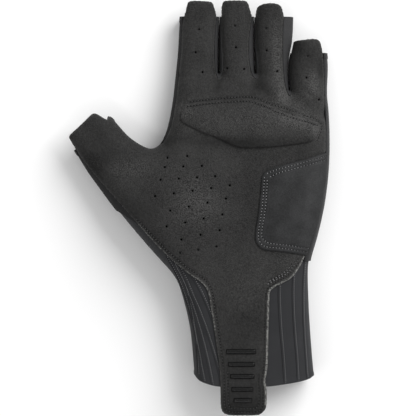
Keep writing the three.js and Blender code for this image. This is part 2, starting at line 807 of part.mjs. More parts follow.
// A cushion sewn on the leather: a step in from its outline, the rest at full thickness.
function cushion(outline, thickness) {
  const plan = outline.map(palmPoint);
  const body = (height) => loft(bodyRings(height)).add(loft(thumbRings(height, 0)));
  const under = body(seamGap);
  const low = body(seamGap + thickness * cushionStep).subtract(under).intersect(prism(plan, seamHeight));
  const inner = shrunk(plan, cushionEdge);
  const full = body(seamGap + thickness).subtract(under).intersect(prism(inner, seamHeight));
  return low.add(full);
}

// An outline drawn in by a width, corner by corner.
function shrunk(plan, width) {
  const turn = Math.sign(THREE.ShapeUtils.area(plan.map(([x, y]) => ({ x, y }))));
  return plan.map((point, index) => {
    const before = plan[(index + plan.length - 1) % plan.length];
    const after = plan[(index + 1) % plan.length];
    const one = new THREE.Vector2(point[0] - before[0], point[1] - before[1]).normalize();
    const two = new THREE.Vector2(after[0] - point[0], after[1] - point[1]).normalize();
    const mean = one.add(two).normalize().multiplyScalar(width * turn);
    return [point[0] - mean.y, point[1] + mean.x];
  });
}

function bar({ along, long }) {
  const [x, y] = cuffPoint({ x: tabMiddle, y: along });
  const half = (tabWidth * long) / 2;
  const plan = prism([
    [x - half, y - barWidth / 2], [x + half, y - barWidth / 2],
    [x + half, y + barWidth / 2], [x - half, y + barWidth / 2],
  ], cuffDepth / 2);
  const under = loft(bodyRings(seamGap));
  return loft(bodyRings(seamGap + barThickness)).subtract(under).intersect(plan);
}

const leather = { color: 0x3b3b3a, roughness: 0.9, metalness: 0 };
const stretch = { color: 0x2a2a2b, roughness: 0.8, metalness: 0 };
const satin = { color: 0x1c1c1d, roughness: 0.5, metalness: 0 };
const knit = { color: 0x3a3a3d, roughness: 0.85, metalness: 0 };
const silicone = { color: 0x0c0c0c, roughness: 0.25, metalness: 0 };

const group = new THREE.Group();
function piece(name, shape, finish) {
  const bodies = shape.decompose().filter((body) => body.volume() > speck);
  const { vertProperties, triVerts } = joined(bodies).getMesh();
  const geometry = new THREE.BufferGeometry();
  geometry.setAttribute('position', new THREE.BufferAttribute(new Float32Array(vertProperties), 3));
  geometry.setIndex([...triVerts]);
  geometry.computeVertexNormals();
  const mesh = new THREE.Mesh(geometry, new THREE.MeshStandardMaterial(finish));
  mesh.name = name;
  group.add(mesh);
}

const palm = leatherShell.intersect(leatherRegion(0)).subtract(seamCuts).subtract(holes());
piece('palm_panel', palm, leather);

const back = clothShell.subtract(leatherRegion(seamGap)).subtract(seamCuts)
  .subtract(beyondHems).subtract(wristSide);
piece('back_panel', back, stretch);

const forkNames = ['index_middle', 'middle_ring', 'ring_little'];
forks.forEach((index) => {
  const shape = clothShell.intersect(forkPrism(index, seamInset)).subtract(beyondHems);
  piece(`fourchette_${forkNames[index]}`, shape, stretch);
});
piece('index_side_strip', clothShell.intersect(indexStrip(0)).subtract(beyondHems), stretch);
const outer = clothShell.intersect(outerStrip(0)).subtract(beyondHems).subtract(wristSide);
piece('outer_side_strip', outer, satin);
piece('cuff', cuffSolid(), knit);
piece('upper_palm_pad', cushion(padOutline, padThickness), leather);
piece('heel_patch', cushion(patchOutline, patchThickness).subtract(outerStrip(seamGap)), leather);
gripBars.forEach((row, index) => piece(`silicone_bar_${index + 1}`, bar(row), silicone));

// The origin is the middle of the footprint.
const extent = new THREE.Box3().setFromObject(group);
const middle = extent.getCenter(new THREE.Vector3());
group.position.set(-middle.x, -middle.y, 0);
group.updateMatrixWorld(true);

export default group;
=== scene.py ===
"""Fingerless cycling glove, lying palm up: leather palm, stretch back, ribbed cuff and pull tab."""

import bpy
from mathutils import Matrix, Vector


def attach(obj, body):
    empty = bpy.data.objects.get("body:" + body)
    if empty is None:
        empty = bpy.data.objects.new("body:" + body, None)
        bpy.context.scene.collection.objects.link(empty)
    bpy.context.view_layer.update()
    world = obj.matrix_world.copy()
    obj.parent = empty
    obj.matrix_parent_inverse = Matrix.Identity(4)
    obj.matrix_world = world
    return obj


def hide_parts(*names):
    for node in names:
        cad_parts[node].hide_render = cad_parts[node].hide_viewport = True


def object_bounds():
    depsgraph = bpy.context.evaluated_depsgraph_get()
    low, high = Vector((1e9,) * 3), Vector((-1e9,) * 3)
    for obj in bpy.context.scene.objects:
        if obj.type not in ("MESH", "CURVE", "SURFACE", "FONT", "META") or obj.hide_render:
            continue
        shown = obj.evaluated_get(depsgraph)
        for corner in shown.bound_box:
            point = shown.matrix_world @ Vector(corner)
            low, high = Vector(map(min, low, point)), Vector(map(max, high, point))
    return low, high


bl_info = {
    "name": "Cycling Glove",
    "version": (1, 0, 0),
    "blender": (4, 5, 0),
    "location": "View3D > Sidebar > Glove",
    "description": "Sews a fingerless cycling glove from leather, stretch cloth and ribbed knit",
    "category": "Add Mesh",
}

import functools

import bpy
import numpy as np
from mathutils import Vector

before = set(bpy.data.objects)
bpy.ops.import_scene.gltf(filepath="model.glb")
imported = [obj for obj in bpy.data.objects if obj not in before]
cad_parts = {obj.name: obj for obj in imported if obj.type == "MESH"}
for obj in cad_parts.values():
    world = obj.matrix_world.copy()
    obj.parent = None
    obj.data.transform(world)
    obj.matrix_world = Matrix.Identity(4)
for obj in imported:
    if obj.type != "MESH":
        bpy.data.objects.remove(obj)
CAD_LOW, CAD_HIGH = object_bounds()

# Lengths are millimetres until a mesh is made. The plan is drawn in units of its own, counted
# from its top left corner, and the glove's length in the frame says how long one unit is.
MM = 0.001
PLAN_LENGTH = 412.8
PLAN_MIDDLE = (199.1, 208.1)
UNIT = (CAD_HIGH.y - CAD_LOW.y) / MM / PLAN_LENGTH


def plan(spots):
    """Places in the plan as millimetres in the frame."""
    spots = np.array(spots, float)
    return np.stack([(spots[:, 0] - PLAN_MIDDLE[0]) * UNIT, (PLAN_MIDDLE[1] - spots[:, 1]) * UNIT], 1)


def plan_y(along):
    """A place down the plan as a y in millimetres."""
    return (PLAN_MIDDLE[1] - along) * UNIT


def part_of(line, first, last):
    """The points of a line from one of them to another."""
    return line[line.index(first):line.index(last) + 1]


# The filled glove from above. The tubes of the fingers, the thumb and the cuff run on past
# their ends, where the cloth is cut.
SILHOUETTE = [
    (180.8, -24), (180.2, 2), (180, 16), (178.9, 28), (178, 50), (175.4, 75), (173, 98), (170.5, 114),
    (167, 129), (163.4, 138.5), (159, 145), (154, 148.4), (149, 148.6), (143, 146.3), (129, 137.4),
    (119, 126), (113, 119), (109.5, 116.2), (105, 112), (86, 91), (48, 124), (68, 144.5), (74.4, 151.4),
    (78.4, 158), (87.6, 173.2), (95.6, 184), (112.8, 207.6), (128.2, 226.4), (143.4, 244.4),
    (158.2, 261), (167.6, 271), (174.4, 280), (178.4, 289.6), (184.6, 312), (188.4, 331), (190.2, 349),
    (192, 372), (192.8, 390), (193, 440), (318, 440), (317, 390), (316, 373), (314, 352), (311.6, 318),
    (310.4, 290), (310, 273.7), (310.6, 262), (313.5, 251), (317.9, 236.8), (323.8, 211.6),
    (326.3, 197), (328.9, 175.6), (329.9, 158), (330.1, 141), (329.8, 124), (328.9, 108), (327.6, 98),
    (327.5, 88), (328.1, 77), (328.5, 67), (328, 59), (327, 50), (326.4, 30), (326.4, -24),
]
# Slits between the fingers, from the fork to past the ends, and half their breadth in millimetres.
SLITS = [
    [(218.7, 72.5), (218.5, 58), (218.8, 40), (219.4, 16), (220, -30)],
    [(255.2, 72.5), (254.4, 56), (253.9, 36), (254.4, 16), (255, -30)],
    [(289.6, 89.5), (288.6, 78), (288.3, 68), (289.2, 58), (291.2, 49), (293, 40), (293.9, 16), (294, -30)],
]
SLIT_HALF = 0.3

# The leather: the fronts of thumb and fingers, the palm and the long pull tab.
LEATHER = [
    (76.6, 152), (73.4, 146), (69.6, 139.6), (68.6, 137.2), (69.9, 135.4), (80, 126.4), (91.4, 115),
    (94.2, 113.2), (97.6, 114.1), (103.6, 117.8), (107.2, 119.6), (108.4, 119), (109, 111),
    (124, 116), (142, 134), (151, 143.5), (157, 144.8), (163.6, 141.6), (169.9, 129.5), (173.4, 114.5),
    (175.8, 98.5), (178.2, 76), (180.6, 54), (181.4, 32), (182.4, 19), (184.4, 15), (186, 9),
    (187, 3.8), (188.6, 1.8), (193, 1.2), (200, 1.4), (207, 1.8), (211.4, 2.2), (213.3, 3.8), (215, 9),
    (216.9, 14.5), (216.4, 20), (215.2, 30), (214.6, 45), (214.6, 60), (215.4, 70), (216.4, 76),
    (218.5, 79.2), (220.8, 77), (222.6, 71), (223, 63), (222, 48), (221.3, 32), (221, 16), (221.2, 7),
    (222, 2.8), (224, 1.1), (230, 0.9), (240, 0.9), (245.6, 1.1), (248, 2.6), (249.5, 6.5),
    (250.8, 11.5), (252.8, 16.4), (251.2, 22), (249.5, 32), (248.6, 46), (249, 60), (250.5, 70),
    (252.8, 76.4), (255.7, 79.4), (257.7, 77), (258.6, 70), (258, 62), (256.6, 50), (255.3, 40),
    (255.1, 28), (255.2, 17), (255.8, 9.6), (257.5, 6.6), (261, 4.8), (266, 3.9), (271, 3.5),
    (276, 4), (279.8, 5.6), (282, 8.6), (283, 13), (284.3, 17), (283.2, 24), (282.7, 40),
    (282.8, 60), (283.6, 76), (285.4, 87), (287.6, 94), (290, 96.8), (291.4, 93), (290.8, 86),
    (289.6, 76), (289.2, 66), (289.9, 54), (291.6, 45.5), (292.8, 42), (295.4, 40.8), (302, 40.4),
    (309, 39.6), (315, 39.3), (318.6, 40.2), (320.6, 42.4), (321.8, 47), (322.8, 52), (323.4, 57),
    (324.3, 70), (324.6, 90), (325.2, 110), (326.2, 130), (325.8, 155), (325, 175.6), (321.9, 194.7),
    (317.7, 213.9), (312.3, 233), (307.7, 246.8), (305.6, 253.6), (304, 258), (300.3, 265.3),
    (296, 272), (291.3, 277.4), (284.5, 281.4), (277.6, 284.8), (272, 287.8), (269.6, 290.4),
    (268.7, 294.5), (268.5, 309), (267.8, 330), (267.4, 350), (267, 366), (265.6, 374), (264.6, 380),
    (265.4, 385), (266.2, 391), (266.2, 400), (265.9, 405.4), (264.4, 409.4), (261.2, 412.8),
    (257.6, 414.4), (250, 414.7), (238, 414.7), (229.6, 414.5), (225, 413.3), (222, 410.4),
    (221, 405), (220.9, 396), (220.7, 386), (220, 373), (219, 360), (216.7, 345), (215, 332.5),
    (213.4, 321), (211.3, 309.5), (209.8, 298), (208.1, 290.8), (205, 285.2), (199.5, 280.3),
    (192, 275.8), (177.5, 265.2), (163.3, 252), (155.3, 244), (147.3, 235), (134.6, 220.6),
    (123, 207.4), (111.7, 194.8), (100, 181.6), (90.4, 170.7), (82.5, 160.5),
]
# Inner edges of the two side strips, from the fingertip down.
INDEX_SEAM = [(182.5, -30), (182.5, 18), *reversed(part_of(LEATHER, (157, 144.8), (181.4, 32)))]
OUTER_SEAM = [(322.8, -30), (323.1, 52), *part_of(LEATHER, (324.3, 70), (307.7, 246.8)),
              (304.6, 257), (303, 264)]
# Edge of the back over the cuff, and the cuff's free hem, both from the thumb side.
BACK_EDGE = [(40, 190), (100, 203.5), (118, 211.5), (136, 222.8), (150, 236), (165, 247), (200, 257),
             (312, 259.5), (345, 260)]
CUFF_HEM = [(180, 368), (192, 373.5), (196, 379), (201, 381.8), (212.6, 385), (221, 386),
            (245, 386.4), (268.7, 385.9), (283.8, 383.6), (298.4, 381.2), (311, 378.4), (314.4, 375.6),
            (330, 370)]
# Where the raw ends of the finger fronts and of the tab begin to waver and do so in full, by how
# many millimetres, and how fast, in radians a millimetre.
RAW_FRONTS = (60, 30)
RAW_TAB = (412, 384)
RAW_WAVES = 0.16
RAW_PACE = (2.3, 2.6)
# Lower ends of the two side strips.
INDEX_STRIP_END = 143
OUTER_STRIP_END = 261

# Height of the palm side down the plan, and how far in from the silhouette its edge rounds.
HEIGHTS = [(-30, 17.2), (16, 17.4), (50, 18.3), (78, 20.4), (95, 22.6), (112, 24.2), (130, 25.2),
           (160, 26), (200, 27.2), (240, 28), (270, 28.6), (300, 28.5), (335, 27.9), (367, 28.2),
           (390, 28.4), (404, 27.4), (420, 25.4), (445, 22)]
ROUNDINGS = [(-30, 9.2), (70, 9.4), (95, 10.5), (120, 13), (150, 15), (445, 15)]
# The thumb's own axes in the plan: from its end inwards, and across towards the index finger.
THUMB_END = (81.4, 125.35)
THUMB_INWARD = (0.685, 0.728)
THUMB_HEIGHTS = [(-30, 18.6), (0, 19.4), (20, 20.2), (40, 21.2), (64, 23), (106, 26)]
THUMB_ROUNDINGS = [(0, 10.2), (40, 12), (90, 15)]
# Where the thumb gives way to the palm, inwards and across, and where its side hem runs.
THUMB_REACH = (58, 112)
THUMB_SIDE = (36, 62)
THUMB_HEM = 13.3
# Side hems of the index, middle, ring and little finger.
FINGER_HEMS = (16.4, 16.4, 16.8, 53)

# Soft rises and hollows: middle, reach both ways in plan units, rise in millimetres.
MOUNDS = [
    (196, 200, 36, 36, 2.0),
    (298, 205, 31, 46, 1.7),
    (250, 222, 26, 52, -3.0),
    (205, 150, 46, 12, -1.3),
    (282, 124, 50, 19, 0.9),
    (215, 118, 40, 22, 0.5),
]
# Folds and ridges of the leather: from, to, half breadth in millimetres, rise.
FOLDS = [
    ((263, 84), (300, 118), 3.4, 0.75),
    ((257, 86), (286, 112), 3.0, -0.55),
    ((294, 100), (324, 114), 3.4, -0.8),
    ((303, 84), (320, 98), 1.4, 0.35),
    ((306, 90), (316, 106), 1.2, -0.35),
    ((164, 146), (202, 137), 2.6, -0.8),
    ((176, 75.5), (198, 77.5), 1.0, -0.4),
    ((222, 150), (292, 158), 5.0, -0.7),
    ((272, 84), (278, 60), 3.0, 0.35),
    ((108, 126), (136, 146), 3.0, -0.5),
    ((232, 236), (240, 290), 5.0, -0.4),
]

# Outlines of the palm pad and of the heel patch, which runs on under the outer strip.
PAD = [(184.5, 105.6), (188, 103.8), (204.4, 102), (220, 100.4), (239, 99.4), (246, 99), (253, 100),
       (266.3, 104.6), (277, 110), (290.7, 115.2), (309.6, 120.4), (316.5, 122.6), (319.6, 125.4),
       (319, 129), (316.6, 136), (313.5, 140.5), (308, 142.6), (296, 144.8), (270, 147.6),
       (244.6, 148.4), (236, 147), (227.4, 143), (216, 137.6), (204.4, 133.9), (193, 128.4),
       (183, 123.8), (180.4, 119.4), (181.6, 111)]
PATCH = [(261.2, 179), (262, 175.2), (265.6, 171.4), (275.6, 167.2), (291, 163.4), (306, 159.2),
         (326, 153), (340, 150), (340, 262), (306.2, 255.2), (298.6, 254.2), (283.3, 251.6),
         (268, 250.8), (262, 249.4), (257.4, 245.4), (255, 240), (254.9, 234), (256, 226),
         (258.4, 214), (260.3, 194.7)]
# How far in from its edge each cushion rounds, in millimetres.
PAD_EDGE = 6.5
PATCH_EDGE = 2.2
BAR_EDGE = 1.15

# Punched holes over the ball of the thumb, as the ends of each row and its count, and those on
# the fingers.
VENT_ROWS = [
    ((167.3, 157.8), (187.2, 156.2), 2), ((164.8, 167.2), (201.8, 166), 3),
    ((160.6, 180), (215.2, 176.4), 4), ((155.2, 196.2), (229.8, 185.6), 5),
    ((170.3, 210.8), (226, 198.9), 4), ((166.7, 226.5), (222.4, 214.6), 4),
    ((181.4, 239.5), (219.7, 230.3), 3), ((180.1, 252.9), (216.3, 246.5), 3),
]
FINGER_VENTS = [
    (199.2, 29.5), (195.6, 52.5), (202.5, 72.3), (235, 25.9), (235.8, 47.6), (226.6, 68.5),
    (244.3, 69.2), (266.1, 28.5), (266.4, 50.7), (277.2, 71.5), (307.6, 56.5), (306.2, 77.9),
    (319, 99.8),
]

# Stitch rows on the leather, on the two cushions and along the hems.
PAD_ROWS = [
    [(189, 102.4), (210, 99.6), (247.5, 96.8), (254, 97.9), (263, 101), (275.5, 106.2), (284.7, 108.8),
     (297.2, 113.2), (315, 119.2), (320.4, 122.6), (322.4, 126.4), (320.6, 133), (317, 141)],
    [(186.6, 107.4), (204.4, 105), (220, 103.4), (239, 102.4), (246.6, 102), (252.6, 103),
     (265.6, 107.6), (276.6, 113), (290, 118.2), (309, 123.4), (316, 126)],
]
PATCH_ROWS = [
    [(267.5, 173.6), (276, 170.2), (291, 166.4), (306, 162.2), (324.4, 156.6)],
    [(270.5, 177), (277.4, 173.6), (291.8, 169.8), (306.8, 165.6), (324.6, 160)],
    [(264.4, 178), (263.5, 194.7), (261.6, 214), (259.2, 226), (258.2, 235), (258.8, 240.4),
     (262, 245.4), (268, 247.4), (283.3, 248.2), (298.6, 250.6), (306, 251.8)],
    [(267.2, 181), (266.7, 195.2), (264.8, 214.6), (262.4, 227), (261.4, 235), (262.4, 239),
     (268.4, 243.6), (283.6, 244.6), (299, 246.8), (307, 248.2)],
]
EDGE_ROWS = [
    [(137, 219.6), (149.6, 232.6), (157.6, 241.4), (165.6, 249.2), (179.4, 261.8), (193.6, 272),
     (201.6, 276.8), (208.4, 282.8), (211.6, 289.4), (213.2, 297.4), (214.8, 308.8), (217, 320.4),
     (218.6, 332), (220.4, 344.4), (222.6, 359.4), (223.8, 372.6), (224.2, 386), (224.2, 404),
     (225.4, 408.4), (229, 411.2), (238, 411.6), (256.6, 411.5), (260, 409.6), (262.4, 406.6),
     (262.8, 400), (262.7, 391), (261.2, 381), (262.4, 374), (263.5, 366), (263.9, 350),
     (264.2, 330), (264.9, 309), (265.1, 294), (267.4, 287.4), (276, 281.6), (283, 278),
     (289.4, 273.8), (294, 268.8), (298, 262.8)],
    [(227.6, 372), (228, 386), (228, 402), (229, 406), (231.6, 407.8), (240, 408), (254.6, 407.9),
     (257.2, 406), (258.9, 402), (259, 391), (258, 381), (258.7, 374)],
]
HEEL_ROWS = [
    [(268, 283.6), (277, 278.6), (284, 275), (289.4, 270.6), (294.4, 264.2), (299, 257)],
    [(270, 280.6), (277.4, 276.4), (283.6, 272.6), (288.6, 268), (293, 261.8)],
]

# Soft places painted paler and darker: painted highlights on the rises and on the right sides of fingers
# and pad, painted shade on the sides turned away, in the creases and between the fingers, partly wear of
# the nap on the ball of the thumb: middle, reach both ways, amount.
PAINTED_LIGHT_AND_WEAR = [
    (196, 204, 21, 23, 0.55),
    (180, 175, 20, 16, 0.10),
    (100, 143, 20, 18, -0.1),
    (90, 166, 18, 12, -0.6),
    (140, 212, 26, 12, -0.15),
    (240, 335, 26, 40, -0.08),
    (243, 412, 30, 18, -0.4),
    (246, 122, 56, 18, 0.3),
    (263, 84, 7, 12, -0.25),
    (250, 290, 30, 24, 0.2),
    (284, 104, 22, 12, 0.3),
    (276, 50, 5, 24, 0.5),
    (280, 74, 5, 12, 0.35),
    (285, 92, 6, 13, 0.9),
    (304, 64, 11, 12, -0.12),
    (313, 84, 6, 12, 0.6),
    (300, 48, 9, 7, -0.25),
    (321, 70, 4, 14, -0.3),
    (293, 118, 14, 6, 0.6),
    (300, 124, 13, 8, 0.5),
    (316, 131, 5, 8, 0.5),
    (128, 168, 24, 9, 0.3),
    (184, 112, 8, 8, 0.45),
    (286, 264, 18, 10, 0.25),
    (240, 142, 60, 5, -0.25),
    (218, 86, 4, 8, -0.3),
    (255, 86, 4, 8, -0.3),
    (290, 104, 4, 10, -0.3),
]
# Three stretches of the leather's edge where the raw cut shows pale.
HEEL_EDGE = part_of(LEATHER, (304, 258), (272, 287.8))
TAB_EDGE = part_of(LEATHER, (269.6, 290.4), (266.2, 400))
THUMB_SIDE_EDGE = [(140, 227), (155.3, 244), (163.3, 252), (177.5, 265.2), (192, 275.8), (205, 285.2),
                   (208.1, 290.8), (211.3, 309.5), (214, 325)]

# Ribs of the cuff over the palm side, then over the back, from the wrist to the hem.
PALM_RIBS = [
    [(163, 250), (171, 262), (178.6, 276), (184, 288), (188, 304), (192.6, 330), (194.8, 352), (196, 373)],
    [(166, 250), (173.6, 265), (180.4, 279), (189.6, 302), (197, 324.4), (204.6, 350), (209.4, 372),
     (211.6, 383)],
    [(168, 252), (180.4, 270.4), (191.2, 294), (202.6, 320), (213, 350), (219.4, 374), (221.4, 384)],
    [(175, 255), (190, 274), (198, 286), (206, 303), (213, 322), (219, 345)],
    [(165.4, 258), (175, 276), (182, 294), (189.4, 318.6), (194.6, 341), (199.6, 366.8), (202.6, 380)],
    [(279.5, 272), (278.2, 290), (278.6, 304), (279.6, 324), (281.6, 346), (283, 364), (284, 382)],
    [(295.6, 258), (293, 276), (292.4, 298), (294, 330), (296.4, 354), (297.6, 380)],
    [(306.4, 256), (304.6, 276), (303.6, 298), (304.6, 330), (306.4, 356), (307.8, 378)],
]
BACK_RIBS = [
    [(162, 254), (181, 284), (190, 320), (194.6, 350), (197, 377)],
    [(178, 254), (194, 284), (203, 320), (208, 350), (210.6, 382)],
    [(196, 256), (208, 284), (216, 320), (221, 350), (223.6, 384)],
    [(214, 258), (223, 284), (229, 320), (233, 350), (235.6, 385)],
    [(232, 259), (238, 284), (242, 320), (245, 350), (247.6, 385)],
    [(250, 259), (253, 284), (255.6, 320), (258, 350), (259.6, 385)],
    [(268, 259), (269, 284), (269.6, 320), (271, 350), (272, 384)],
    [(285, 259), (284, 284), (283.4, 320), (284, 350), (285, 382)],
    [(301, 259), (299, 284), (297.4, 320), (298, 350), (299, 380)],
]
# Grip bars across the tab's end: middle, length along and breadth, in plan units.
BARS = [(241, 350.9, 29.6, 4.9), (241.4, 363.5, 26.6, 4.5), (242.1, 375.5, 24.2, 4.4),
        (242.2, 388.4, 21.7, 4.4), (242.8, 399.4, 18.4, 4.4)]
BAR_CORNER = 0.3

# Lines that the surface follows, by name, and how pale the three raw stretches are.
LINES = {
    "leather rows": EDGE_ROWS + HEEL_ROWS + PAD_ROWS[:1],
    "pad rows": PAD_ROWS[1:],
    "patch rows": PATCH_ROWS,
    "pad edge": [PAD + PAD[:1]],
    "patch edge": [PATCH + PATCH[:1]],
    "heel edge": [HEEL_EDGE],
    "tab edge": [TAB_EDGE],
    "thumb side edge": [THUMB_SIDE_EDGE],
}
FRAY = {"heel edge": 0.9, "tab edge": 1.0, "thumb side edge": 0.45}
# How pale the edge is elsewhere, how near a stretch counts, and how far in the paleness goes.
PLAIN_FRAY = 0.1
FRAY_NEAR = 2.5
FRAY_REACH = (1.1, 0.45)

# Grids that the form is worked out on, in millimetres.
CHART_STEP = 0.5
LINES_MARGIN = 6
CHART_MARGIN = 14
SKIN_STEP = 0.85
SLIT_STEP = 0.3
SKIN_MARGIN = 4
SLIT_MARGIN = 3
SKIN_ROWS = (424, -8)
# How often the charts of height and of rounding are softened.
HEIGHT_PASSES = 50
ROUNDING_PASSES = 60
# A distance past which nothing has an effect, and places above and below the whole form.
FAR = 9
ABOVE = 34.0
BELOW = -4.0
# The form's section: where the leather's seam runs, the widest place and the depth below it as
# shares of the height, the power of its roundness, and how the edge on the floor rounds.
SEAM_HEIGHT = 11
WAIST = 0.45
UNDERSIDE = 0.53
SOFTNESS = 2.5
FLOOR_ROUNDING = 1.6
# How deep the cuff lies under the leather, and in plan units how far it runs on under the back
# and over how long a stretch the hand's underside comes down to it.
CUFF_SINK = 1.25
CUFF_LAP = 10
CUFF_SLOPE = 16
# The side walls between the fingers: half their breadth low down, how much wider they are above,
# and the heights between which they widen.
FORK_LOW = 2.2
FORK_WIDER = 4.6
FORK_WIDENS = (7.5, 10)
FORK_REACH = 7.5

# How far the face of each panel and the bottom of each cushion stand above the form.
BACK_RISE = -0.2
STRIP_RISE = -0.1
WALL_RISE = 0.17
CUSHION_FLOOR = -0.35
PAD_FLOOR = -0.4
PATCH_FLOOR = -0.2
# How high a cushion's edge is as a share of its rise, and its gap to the outer strip.
CUSHION_LIP = 0.25
PATCH_GAP = 0.25
# How far the rounded rims bulge.
LEATHER_BULGE = 0.22
CLOTH_BULGE = 0.05
WALL_BULGE = 0.03
CUFF_BULGE = 0.12
CUSHION_BULGE = 0.1
# Rise of the folded hems, between which places it comes, and its share on the walls.
HEM_RISE = 0.35
HEM_FOLD = (-3.6, -3.1)
WALL_HEM = 0.2
CUFF_HEM_RISE = 0.25
CUFF_HEM_FOLD = (-2.2, -1.8)
# Hollows of the leather and the cushions: depth and half breadth.
ROW_HOLLOW = (0.3, 0.5)
EDGE_HOLLOW = (0.25, 0.9)
HOLE_HOLLOW = (0.22, 0.5)
PAD_HOLLOW = (0.3, 1.3)
PATCH_HOLLOW = (0.35, 0.7)
# Heights between which the leather's relief comes in.
RELIEF_STARTS = (8, 14)
# Longest edges of the triangles: how near a hole or a row they get finer, and how fine.
NEAR_HOLE = (1.3, 0.26)
NEAR_ROW = (1.1, 0.5)
LEATHER_STEP = 1.0
CUSHION_NEAR_ROW = (1.1, 0.4)
CUSHION_STEP = 0.85
# Heights of the ribs and the stitches above the form or the cushions.
RIB_RISE = 0.08
BACK_RIB_RISE = -0.3
RIB_SEAM_RISE = 0.1
RIB_SEAM_ASIDE = 1.5
RIB_STEP = 0.8
ROW_RISE = 0.14
PAD_ROW_SHARE = 0.62
PATCH_ROW_SHARE = 0.9
PATCH_ROW_DROP = 0.28

# The picture: its breadth and the glove's place in it in plan units, the lens, the height above the frame
# at which that breadth holds, and how far below the glove the floor lies, in metres.
PICTURE_BREADTH = 416
PICTURE_ASIDE = 8.9
LENS = 350
PICTURE_HEIGHT = 0.016
FLOOR_SIZE = 6
FLOOR_DROP = 0.0004
SKY = 0.6
# Lamps: name, place, breadth and height in metres, power in watts.
LAMPS = (
    ("key", (0.8, 0.75, 0.9), 1.0, 1.0, 20),
    ("glint", (-0.3, -0.45, 0.85), 1.2, 0.08, 1.1),
)


def length(name, description, default):
    """A length that can be set, in metres."""
    return bpy.props.FloatProperty(name=name, description=description, default=default, unit="LENGTH")


def tint(name, description, default):
    """A colour that can be set."""
    return bpy.props.FloatVectorProperty(
        name=name, description=description, size=3, subtype="COLOR", default=default)


class GloveSizes(bpy.types.PropertyGroup):
    """Walls, seams and trimmings, in metres."""

    leather_wall: length("Leather", "Thickness of the leather", 0.0011)
    cloth_wall: length("Cloth", "Thickness of the stretch cloth", 0.0009)
    knit_wall: length("Knit", "Thickness of the cuff", 0.0014)
    seam_gap: length("Seam", "Gap between two panels at a seam", 0.0001)
    pad_rise: length("Palm pad", "How far the palm pad stands up", 0.0021)
    patch_rise: length("Heel patch", "How far the heel patch stands up", 0.0014)
    bar_rise: length("Grip bars", "How far the grip bars stand up", 0.0011)
    hole: length("Holes", "Diameter of the punched holes", 0.0015)
    stitch: length("Stitch", "Length of one stitch with its gap", 0.0017)
    rib: length("Rib", "Radius of the cuff's ribs", 0.00042)


class GloveColours(bpy.types.PropertyGroup):
    """Base colours of the finishes."""

    leather: tint("Leather", "Suede-like palm leather", (0.0221, 0.0218, 0.0214))
    patch: tint("Patch", "Smoother leather of the heel patch", (0.0205, 0.0208, 0.0215))
    stretch: tint("Stretch cloth", "Cloth of the back of the hand", (0.021, 0.021, 0.0215))
    # Paler copy of the stretch cloth: painted light standing in for the light that reaches into the slits
    # between the fingers.
    wall: tint("Wall cloth", "Cloth between the fingers", (0.037, 0.037, 0.038))
    satin: tint("Satin", "Strip down the little-finger side", (0.0085, 0.0085, 0.009))
    knit: tint("Knit", "Ribbed cuff", (0.0245, 0.025, 0.027))
    thread: tint("Thread", "Sewing thread", (0.04, 0.04, 0.04))
    # Near-black beads between the stitches: painted shade standing in for the dark needle holes.
    prick: tint("Pricks", "Dark pricks of the needle between the stitches", (0.002, 0.002, 0.002))
    pale_thread: tint("Pale thread", "Thread of the heel patch and beside the ribs", (0.2, 0.2, 0.205))
    raw_edge: tint("Raw edge", "Cut edge of the leather", (0.21, 0.21, 0.2))
    silicone: tint("Silicone", "Grip bars", (0.0035, 0.0035, 0.0035))


def size(name):
    """One of the glove's sizes, in millimetres."""
    return getattr(bpy.context.scene.glove_sizes, name) / MM


def colour(name):
    """One of the glove's colours."""
    return tuple(getattr(bpy.context.scene.glove_colours, name))


def rounded(line, closed=False, passes=3):
    """A line with its corners cut, over and over, until it is round."""
    line = np.array(line, float)
    for _ in range(passes):
        after = np.roll(line, -1, 0) if closed else line[1:]
        before = line if closed else line[:-1]
        cut = np.stack([0.75 * before + 0.25 * after, 0.25 * before + 0.75 * after], 1).reshape(-1, 2)
        line = cut if closed else np.concatenate([line[:1], cut, line[-1:]])
    return line


def reach(x, y, line):
    """Distance of each place to a line."""
    nearest = np.full(np.shape(x), 1e9)
    for (ax, ay), (bx, by) in zip(line[:-1], line[1:]):
        dx, dy = bx - ax, by - ay
        share = np.clip(((x - ax) * dx + (y - ay) * dy) / (dx * dx + dy * dy + 1e-12), 0, 1)
        nearest = np.minimum(nearest, (x - ax - share * dx) ** 2 + (y - ay - share * dy) ** 2)
    return np.sqrt(nearest)


